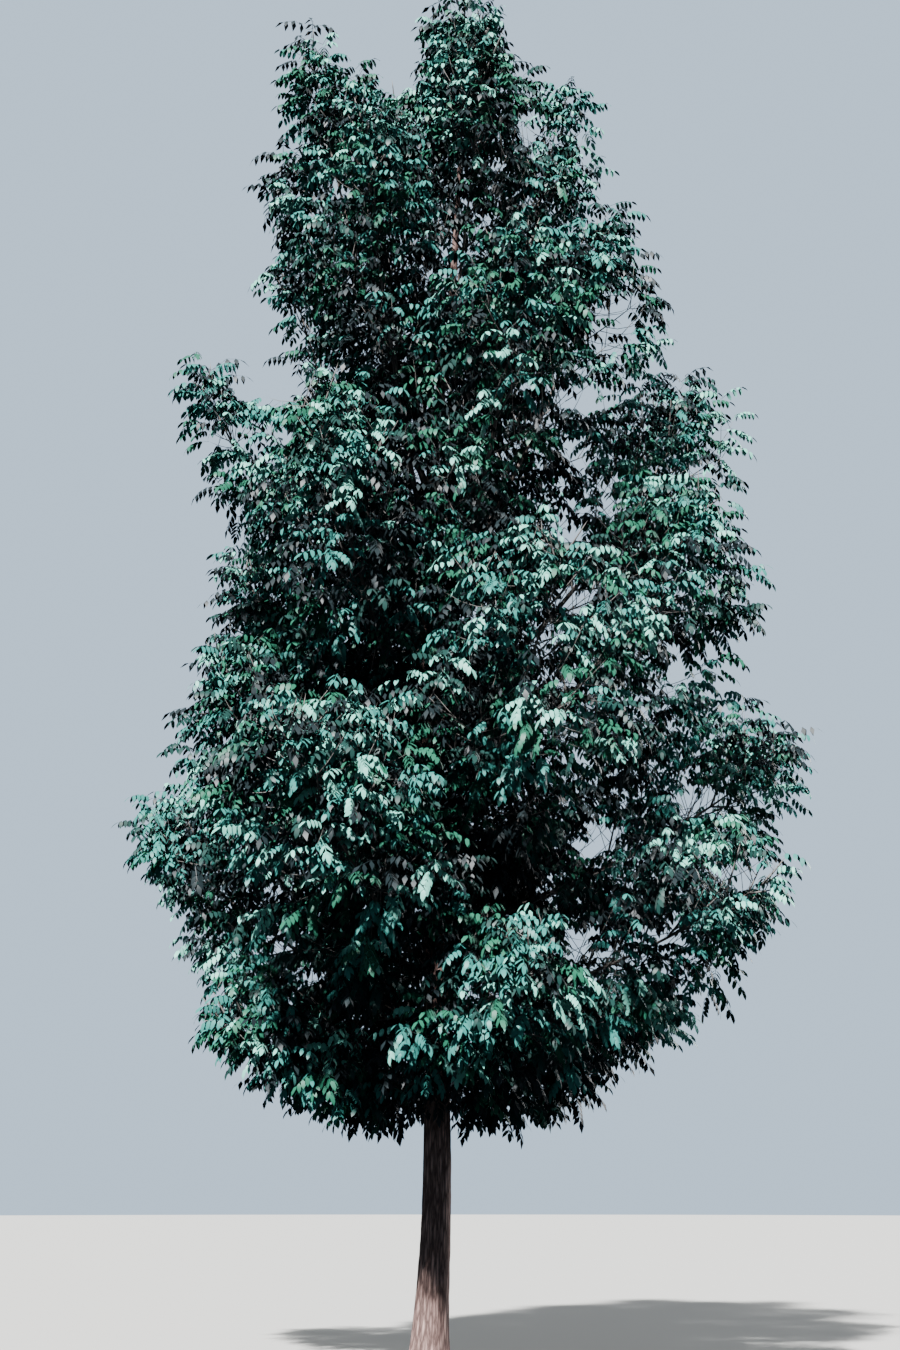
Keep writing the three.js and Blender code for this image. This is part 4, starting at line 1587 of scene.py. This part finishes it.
def joined_piece(name: str, parts: Iterable[Mesh]) -> bpy.types.Object:
    """Makes one smooth piece of several parts.

    Args:
        name: The piece's name.
        parts: The vertices and the triangles of each part.

    Returns:
        The new object, at the origin.
    """
    points, triangles, count = [], [], 0
    for places, faces in parts:
        points.append(places)
        triangles.append(faces + count)
        count += len(places)
    points, triangles = np.concatenate(points), np.concatenate(triangles)
    mesh = bpy.data.meshes.new(name)
    mesh.vertices.add(len(points))
    mesh.vertices.foreach_set("co", points.astype(np.float32).ravel())
    mesh.loops.add(triangles.size)
    mesh.loops.foreach_set("vertex_index", triangles.astype(np.int32).ravel())
    mesh.polygons.add(len(triangles))
    mesh.polygons.foreach_set("loop_start", np.arange(0, triangles.size, 3, dtype=np.int32))
    mesh.polygons.foreach_set("use_smooth", np.ones(len(triangles), bool))
    mesh.update(calc_edges=True)
    mesh.validate()
    piece = bpy.data.objects.new(name, mesh)
    bpy.context.scene.collection.objects.link(piece)
    return piece


@dataclass
class TwigPiece:
    """All the twigs and shoots as thin tapering tubes in one joined piece."""

    twigs: Twigs
    shoots: Twigs
    masses: list[Mass]
    twig_radii: Span = (0.012, 0.005)
    twig_detail: tuple[int, int] = (4, 4)
    shoot_radii: Span = (0.005, 0.0025)
    shoot_detail: tuple[int, int] = (3, 3)
    finish: TwigFinish = TwigFinish()

    def build(self) -> bpy.types.Object:
        """Makes the tubes and joins them."""
        twigs = self._tubes(self.twigs, self.twig_radii, *self.twig_detail)
        return joined_piece("twigs", [twigs, self._tubes(self.shoots, self.shoot_radii, *self.shoot_detail)])

    @staticmethod
    def _tubes(twigs: Twigs, radii: Span, sides: int, rings: int) -> Mesh:
        """Makes closed tapering tubes along twigs.

        Args:
            twigs: The twigs to follow.
            radii: At the foot and at the tip.
            sides: How many sides each tube has.
            rings: How many rings of vertices each tube has, before its point.

        Returns:
            Their vertices and triangles.
        """
        beside, across = sides_of(twigs.directions)
        angles = np.arange(sides) * 2 * math.pi / sides
        spokes = [beside * math.cos(angle) + across * math.sin(angle) for angle in angles]
        rows = []
        for ring in range(rings):
            share = ring / rings
            radius = mix(*radii, share)
            rows.extend(twigs.at(share) + spoke * radius for spoke in spokes)
        rows.append(twigs.at(1.0))
        points = np.stack(rows, axis=1).reshape(-1, 3)
        faces = []
        for ring in range(rings - 1):
            for side in range(sides):
                a, b = ring * sides + side, ring * sides + (side + 1) % sides
                faces += [(a, b, b + sides), (a, b + sides, a + sides)]
        last = (rings - 1) * sides
        faces += [(last + side, last + (side + 1) % sides, rings * sides) for side in range(sides)]
        faces += [(0, side + 1, side) for side in range(1, sides - 1)]
        return points, copied(np.array(faces), len(twigs), rings * sides + 1)

    def dress(self, piece: bpy.types.Object) -> None:
        """Gives the twigs their bark and their place on the tree's body.

        Args:
            piece: The twigs.
        """
        piece.data.materials.append(self.finish.material())
        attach(piece, ROOT_BODY)
        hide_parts(*(mass.name for mass in self.masses))


@dataclass(frozen=True)
class Blade:
    """A leaflet's corners and faces.

    Each corner lies a share of the leaflet's length along it, a share of its width beside it and a share of
    its length above it.
    """

    corners: tuple[Triple, ...]
    faces: tuple[tuple[int, int, int], ...]


OVAL_BLADE = Blade(
    corners=(
        (0.0, 0.0, 0.0),
        (0.24, 0.46, 0.05),
        (0.24, -0.46, 0.05),
        (0.7, 0.42, 0.03),
        (0.7, -0.42, 0.03),
        (1.0, 0.0, -0.07),
    ),
    faces=((0, 2, 1), (1, 2, 4), (1, 4, 3), (3, 4, 5)),
)
PLAIN_BLADE = Blade(
    corners=((0.0, 0.0, 0.0), (0.45, 0.5, 0.04), (0.45, -0.5, 0.04), (1.0, 0.0, -0.06)),
    faces=((0, 2, 1), (1, 2, 3)),
)


@dataclass
class LeafPattern:
    """One compound leaf: a stalk that arches over, with pairs of drooping leaflets and one at its end.

    The leaf starts at the origin, points along +X and arches in the plane of X and Z.
    """

    start_pitch: float
    end_pitch: float
    pairs: int
    seed: int
    blade: Blade = OVAL_BLADE
    stalk_length: float = 0.25
    stalk_width: float = 0.0045
    stalk_steps: int = 60
    first_pair: float = 0.34
    last_pair: float = 0.88
    leaflet_length: float = 0.093
    leaflet_width: float = 0.04
    least_size: float = 0.86
    droop: Span = (0.75, 1.7)
    forward: float = 0.32
    forward_spread: float = 0.12
    tilt: float = 0.6
    end_size: float = 1.05
    end_turn: float = 0.2
    end_droop: float = 0.25
    end_tilt: float = 0.5

    def mesh(self) -> Mesh:
        """Models the leaf.

        Returns:
            Its vertices and triangles.
        """
        random = np.random.default_rng(self.seed)
        shares = np.linspace(self.first_pair, self.last_pair, self.pairs)
        nodes, headings = self._stalk(np.concatenate([[0.0], shares, [1.0]]))
        points, faces = self._ribbon(nodes[::2])
        for number in range(1, self.pairs + 1):
            size = mix(self.least_size, 1.0, math.sin(math.pi * number / (self.pairs + 1)))
            for side in (-1.0, 1.0):
                droop = random.uniform(*self.droop)
                forward = self.forward + random.uniform(-self.forward_spread, self.forward_spread)
                along = unit(ASIDE * side + headings[number] * forward - UP * droop)
                face_up = ASIDE * (side * self.tilt) + UP
                self._add_leaflet(points, faces, nodes[number], along, headings[number], face_up, size)
        side = random.uniform(-self.end_turn, self.end_turn)
        along = unit(headings[-1] + ASIDE * side - UP * self.end_droop)
        face_up = UP + headings[-1] * self.end_tilt
        self._add_leaflet(points, faces, nodes[-1], along, ASIDE, face_up, self.end_size)
        return np.array(points), np.array(faces)

    def _stalk(self, shares: np.ndarray) -> tuple[np.ndarray, np.ndarray]:
        """Follows the arching stalk.

        Args:
            shares: Shares of its length.

        Returns:
            The place and the direction at each.
        """
        fine = np.linspace(0, 1, self.stalk_steps + 1)
        pitch = np.radians(mix(self.start_pitch, self.end_pitch, fine))
        steps = np.stack([np.cos(pitch), np.zeros_like(pitch), np.sin(pitch)], axis=1)
        travelled = np.concatenate([np.zeros((1, 3)), np.cumsum(steps[:-1], axis=0)])
        travelled = travelled * self.stalk_length / self.stalk_steps
        places = np.stack([np.interp(shares, fine, travelled[:, axis]) for axis in range(3)], axis=1)
        pitch = np.interp(shares, fine, pitch)
        return places, np.stack([np.cos(pitch), np.zeros_like(pitch), np.sin(pitch)], axis=1)

    def _ribbon(self, nodes: np.ndarray) -> tuple[list, list]:
        """Models the stalk as a narrow ribbon.

        Args:
            nodes: The places that it passes.

        Returns:
            Its vertices and triangles.
        """
        half = ASIDE * (self.stalk_width / 2)
        points = [node + sign * half for node in nodes for sign in (1, -1)]
        faces = []
        for a in range(0, 2 * len(nodes) - 2, 2):
            faces += [(a, a + 1, a + 3), (a, a + 3, a + 2)]
        return points, faces

    def _add_leaflet(
        self,
        points: list,
        faces: list,
        root: np.ndarray,
        along: np.ndarray,
        beside: np.ndarray,
        face_up: np.ndarray,
        size: float,
    ) -> None:
        """Adds one leaflet: an oval blade that ends in a point and bends over.

        Args:
            points: The leaf's vertices so far.
            faces: Its triangles so far.
            root: Where the leaflet starts.
            along: Where it points.
            beside: Roughly the direction across it.
            face_up: Roughly where its upper face looks.
            size: Its size, as a share of a full leaflet's.
        """
        across = unit(beside - along * (beside @ along))
        normal = np.cross(along, across)
        if normal @ face_up < 0:
            across, normal = -across, -normal
        first = len(points)
        length, width = self.leaflet_length * size, self.leaflet_width * size
        for reach, side, rise in self.blade.corners:
            points.append(root + along * reach * length + across * side * width + normal * rise * length)
        faces += [tuple(first + corner for corner in face) for face in self.blade.faces]


@dataclass
class LeafPieces:
    """All the leaves, on the shoots in crossed pairs, joined into one piece for each green."""

    shoots: Twigs
    space: CrownSpace
    node_places: Row = (0.0, 0.09, 0.2)
    node_roll: float = 0.3
    lowest_node: float = 0.22
    lean: Span = (38.0, 68.0)
    lean_spread: float = 0.2
    size_range: Span = (0.86, 1.14)
    shaded_size: float = 1.15
    middle: float = 0.15
    gap_edge: Span = (0.7, 1.2)
    left_in_gaps: float = 0.1
    # How much a shoot's height above its stem pales its green: painted light on the tops of the masses.
    roll: float = 0.3
    painted_topside_light: float = 0.12
    light_spread: float = 0.5
    light_steps: Row = (0.4, 0.69, 0.96, 1.34)
    start_pitches: Row = (62.0, 32.0, 5.0, -24.0, -52.0)
    end_pitches: Row = (-38.0, -62.0)
    pitch_kept: float = 0.25
    fewest_pairs: int = 3
    seeds_per_start: int = 10
    seed: int = 717

    def build(self) -> dict[LeafTone, bpy.types.Object]:
        """Places every leaf and joins the leaves of each green.

        Returns:
            The piece of each green.
        """
        random = np.random.default_rng(self.seed)
        places, directions, tones = self._leaves(random)
        pitches = np.degrees(np.arcsin(np.clip(directions[:, 2], -1, 1)))
        nearest = np.abs(pitches[:, None] - np.array(self.start_pitches)).argmin(1)
        kinds = nearest * len(self.end_pitches) + random.integers(0, len(self.end_pitches), len(places))
        sizes = random.uniform(*self.size_range, len(places)) * np.where(tones == 0, self.shaded_size, 1)
        turns = self._turns(directions, random) * sizes[:, None, None]
        LOG.info("%d leaves", len(places))
        fine, plain = self._patterns(OVAL_BLADE), self._patterns(PLAIN_BLADE)
        pieces = {}
        for number, tone in enumerate(LeafTone):
            parts = []
            for kind, (shape, faces) in enumerate(plain if tone is LeafTone.SHADED else fine):
                chosen = (tones == number) & (kinds == kind)
                grown = np.einsum("nij,vj->nvi", turns[chosen], shape) + places[chosen][:, None]
                parts.append((grown.reshape(-1, 3), copied(faces, len(grown), len(shape))))
            pieces[tone] = joined_piece(f"leaves_{tone.name.lower()}", parts)
        return pieces

    def _patterns(self, blade: Blade) -> list[Mesh]:
        """Models the leaf patterns.

        Args:
            blade: The outline of their leaflets.

        Returns:
            Each way that a leaf may start, with each way that it may end.
        """
        patterns = []
        for i, start in enumerate(self.start_pitches):
            for j, end in enumerate(self.end_pitches):
                pairs = self.fewest_pairs + (i + j) % 2
                seed = self.seeds_per_start * i + j
                patterns.append(LeafPattern(start, start * self.pitch_kept + end, pairs, seed, blade).mesh())
        return patterns

    def _leaves(self, random: np.random.Generator) -> tuple[np.ndarray, np.ndarray, np.ndarray]:
        """Places the leaves in crossed pairs along the shoots, and leaves out most that lie in an opening.

        Args:
            random: What they are drawn from.

        Returns:
            Where each leaf starts, where it points, and the number of its green.
        """
        shoots = self.shoots
        shoot_tones = self._tones(random)
        first_roll = random.uniform(0, math.pi, len(shoots))
        beside, across = sides_of(shoots.directions)
        heading = shoots.heading(1.0)
        rows = []
        for number, back in enumerate(self.node_places):
            share = 1 - back / shoots.lengths
            grown = share > self.lowest_node if number else np.ones(len(shoots), bool)
            place = shoots.at(np.clip(share, 0, 1))
            lean = math.radians(mix(*self.lean, number / (len(self.node_places) - 1)))
            for side in (0, 1):
                crossed = first_roll + (number + 2 * side) * QUARTER
                roll = crossed + random.uniform(-self.node_roll, self.node_roll, len(shoots))
                spread = lean + random.uniform(-self.lean_spread, self.lean_spread, len(shoots))
                pointing = around(heading, around(beside, across, roll), spread)
                rows.append((place[grown], unit(pointing)[grown], shoot_tones[grown]))
        places, directions, tones = (np.concatenate(column) for column in zip(*rows))
        swell = random.uniform(*self.gap_edge, len(places))
        kept = ~self.space.crown.in_gap(places + directions * self.middle, swell)
        kept |= random.random(len(places)) < self.left_in_gaps
        return places[kept], directions[kept], tones[kept]

    def _tones(self, random: np.random.Generator) -> np.ndarray:
        """Deals out the greens as painted light: painted shade inside the crown and under its masses, painted
        sunlight where the light reaches, with a random spread between shoots.

        Args:
            random: What the spread between shoots is drawn from.

        Returns:
            The number of each shoot's green.
        """
        tips = self.shoots.at(1.0)
        # Painted light: the deeper in the crown and the lower on its mass a shoot lies, the darker its green,
        # as painted shade; near the outside and the top it gets paler greens, as painted sunlight. The random
        # spread adds greens that differ at random.
        above = self.space.above_stem(self.shoots.owners, tips)
        light = self.space.crown.exposure(tips) + self.painted_topside_light * above
        light += random.normal(0, self.light_spread, len(tips))
        return np.digitize(light, self.light_steps)

    def _turns(self, directions: np.ndarray, random: np.random.Generator) -> np.ndarray:
        """Finds the turn that points each leaf its way, keeps its arch upright and rolls it a little.

        Args:
            directions: Where the leaves point.
            random: What the roll is drawn from.

        Returns:
            A matrix for each leaf.
        """
        yaw = np.arctan2(directions[:, 1], directions[:, 0])
        roll = random.uniform(-self.roll, self.roll, len(yaw))
        heading = np.stack([np.cos(yaw), np.sin(yaw), np.zeros_like(yaw)], axis=1)
        level = np.stack([-np.sin(yaw), np.cos(yaw), np.zeros_like(yaw)], axis=1)
        beside = around(level, UP, roll)
        return np.stack([heading, beside, np.cross(heading, beside)], axis=2)

    def dress(self, pieces: dict[LeafTone, bpy.types.Object]) -> None:
        """Gives the leaves their greens and their place on the tree's body.

        Args:
            pieces: The piece of each green.
        """
        for tone, piece in pieces.items():
            piece.data.materials.append(tone.value.material())
            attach(piece, ROOT_BODY)
            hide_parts(*(mass.name for mass in self.space.masses))


@dataclass
class Studio:
    """A pale floor, a sun, a weaker light from behind, a pale sky, and the photographer's camera."""

    camera_place: Triple = EYE
    camera_pitch: float = 15.2
    lens: float = 50.0
    sensor: float = 36.0
    clip_end: float = 360.0
    floor_radius: float = 90.0
    floor_sides: int = 96
    floor_drop: float = 0.002
    floor_rim: float = 9.0
    floor_finish: FloorFinish = FloorFinish()
    backdrop_colour: str = "bcd3e8"
    sky_colour: str = "b4cbe0"
    sky_strength: float = 0.16
    backdrop_strength: float = 1.35
    light_distance: float = 20.0
    sun_strength: float = 10.2
    sun_softness: float = 2.0
    sun_from: Triple = (-0.26, -0.74, 1.0)
    fill_strength: float = 2.0
    fill_softness: float = 25.0
    fill_from: Triple = (0.7, 0.65, 0.4)

    def build(self) -> None:
        """Adds the camera, the floor and the lights."""
        self._camera()
        self._floor()
        self._sky()
        self._sun("sun", self.sun_from, self.sun_strength, self.sun_softness)
        self._sun("fill", self.fill_from, self.fill_strength, self.fill_softness)

    def _camera(self) -> None:
        """Adds the camera, tilted up from eye height."""
        turn = (math.radians(90 + self.camera_pitch), 0, 0)
        bpy.ops.object.camera_add(location=self.camera_place, rotation=turn)
        camera = bpy.context.active_object
        camera.data.lens = self.lens
        camera.data.sensor_width = self.sensor
        camera.data.clip_end = self.clip_end
        bpy.context.scene.camera = camera

    def _floor(self) -> None:
        """Adds a broad round floor with a ring of faces along its rim, a hair under the trunk's cut."""
        floor = start_disc("floor", self.floor_sides, self.floor_radius, (0, 0, -self.floor_drop))
        bpy.ops.mesh.inset(thickness=self.floor_rim)
        bpy.ops.object.mode_set(mode="OBJECT")
        bpy.ops.object.transform_apply()
        floor.data.materials.append(self.floor_finish.material())
        floor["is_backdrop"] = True

    def _sky(self) -> None:
        """Adds the sky, which the camera sees brighter than it lights the tree."""
        world = bpy.data.worlds.new("pale_sky")
        world.use_nodes = True
        tree = world.node_tree
        tree.nodes.clear()
        seen = add_node(tree, "ShaderNodeLightPath").outputs["Is Camera Ray"]
        inputs = {"Value": seen, "To Min": self.sky_strength, "To Max": self.backdrop_strength}
        strength = add_node(tree, "ShaderNodeMapRange", inputs).outputs["Result"]
        inputs = {"Factor": seen, "A": linear(self.sky_colour), "B": linear(self.backdrop_colour)}
        colour = add_node(tree, "ShaderNodeMix", inputs, data_type="RGBA").outputs["Result"]
        sky = add_node(tree, "ShaderNodeBackground", {"Color": colour, "Strength": strength})
        add_node(tree, "ShaderNodeOutputWorld", {"Surface": sky.outputs["Background"]})
        bpy.context.scene.world = world

    def _sun(self, name: str, place: Triple, strength: float, softness: float) -> None:
        """Adds one far light, which the pale floor doesn't throw back up into the crown.

        Args:
            name: The light's name.
            place: The direction that it comes from.
            strength: How strong it is.
            softness: The angle that it fills, in degrees.
        """
        turn = Vector(place).to_track_quat("Z", "Y").to_euler()
        bpy.ops.object.light_add(type="SUN", location=Vector(place) * self.light_distance, rotation=turn)
        light = bpy.context.active_object
        light.name = name
        light.data.energy = strength
        light.data.angle = math.radians(softness)
        light.data.cycles.max_bounces = 0


def write_sizes(cad_box: tuple[Vector, Vector]) -> None:
    """Lists the corners of the box of the solids and of the box of what is shown, and keeps neither.

    Args:
        cad_box: The box of the solids.
    """
    boxes = {"cad": cad_box, "visual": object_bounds()}
    {name: [list(corner) for corner in box] for name, box in boxes.items()}


def report(piece: bpy.types.Object) -> None:
    """Logs a finished piece's name and number of faces."""
    LOG.info("%s: %d faces", piece.name, len(piece.data.polygons))


def main() -> None:
    """Loads the frame, builds and dresses the tree, and sets the stage."""
    logging.basicConfig(level=logging.INFO, format="%(name)s: %(message)s")
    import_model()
    cad_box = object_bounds()
    form = TrunkForm()
    crown = CrownForm(form)
    boughs = crown.boughs()
    masses = crown.masses(boughs)
    space = CrownSpace(crown, masses)

    trunk_maker = TrunkPiece(form, masses[-1].stem)
    trunk = trunk_maker.build()
    trunk_maker.dress(trunk)
    report(trunk)

    bough_maker = BoughPiece(boughs, crown)
    limbs = bough_maker.build()
    bough_maker.dress(limbs)
    report(limbs)

    growth = Growth(crown, space, boughs)
    twigs = growth.twigs()
    shoots = growth.shoots(twigs)
    LOG.info("%d twigs and %d shoots", len(twigs), len(shoots))
    twig_maker = TwigPiece(twigs, shoots, masses)
    wood = twig_maker.build()
    twig_maker.dress(wood)
    report(wood)

    leaf_maker = LeafPieces(shoots, space)
    leaves = leaf_maker.build()
    leaf_maker.dress(leaves)
    for piece in leaves.values():
        report(piece)

    Studio().build()
    write_sizes(cad_box)


if __name__ == "__main__":
    main()
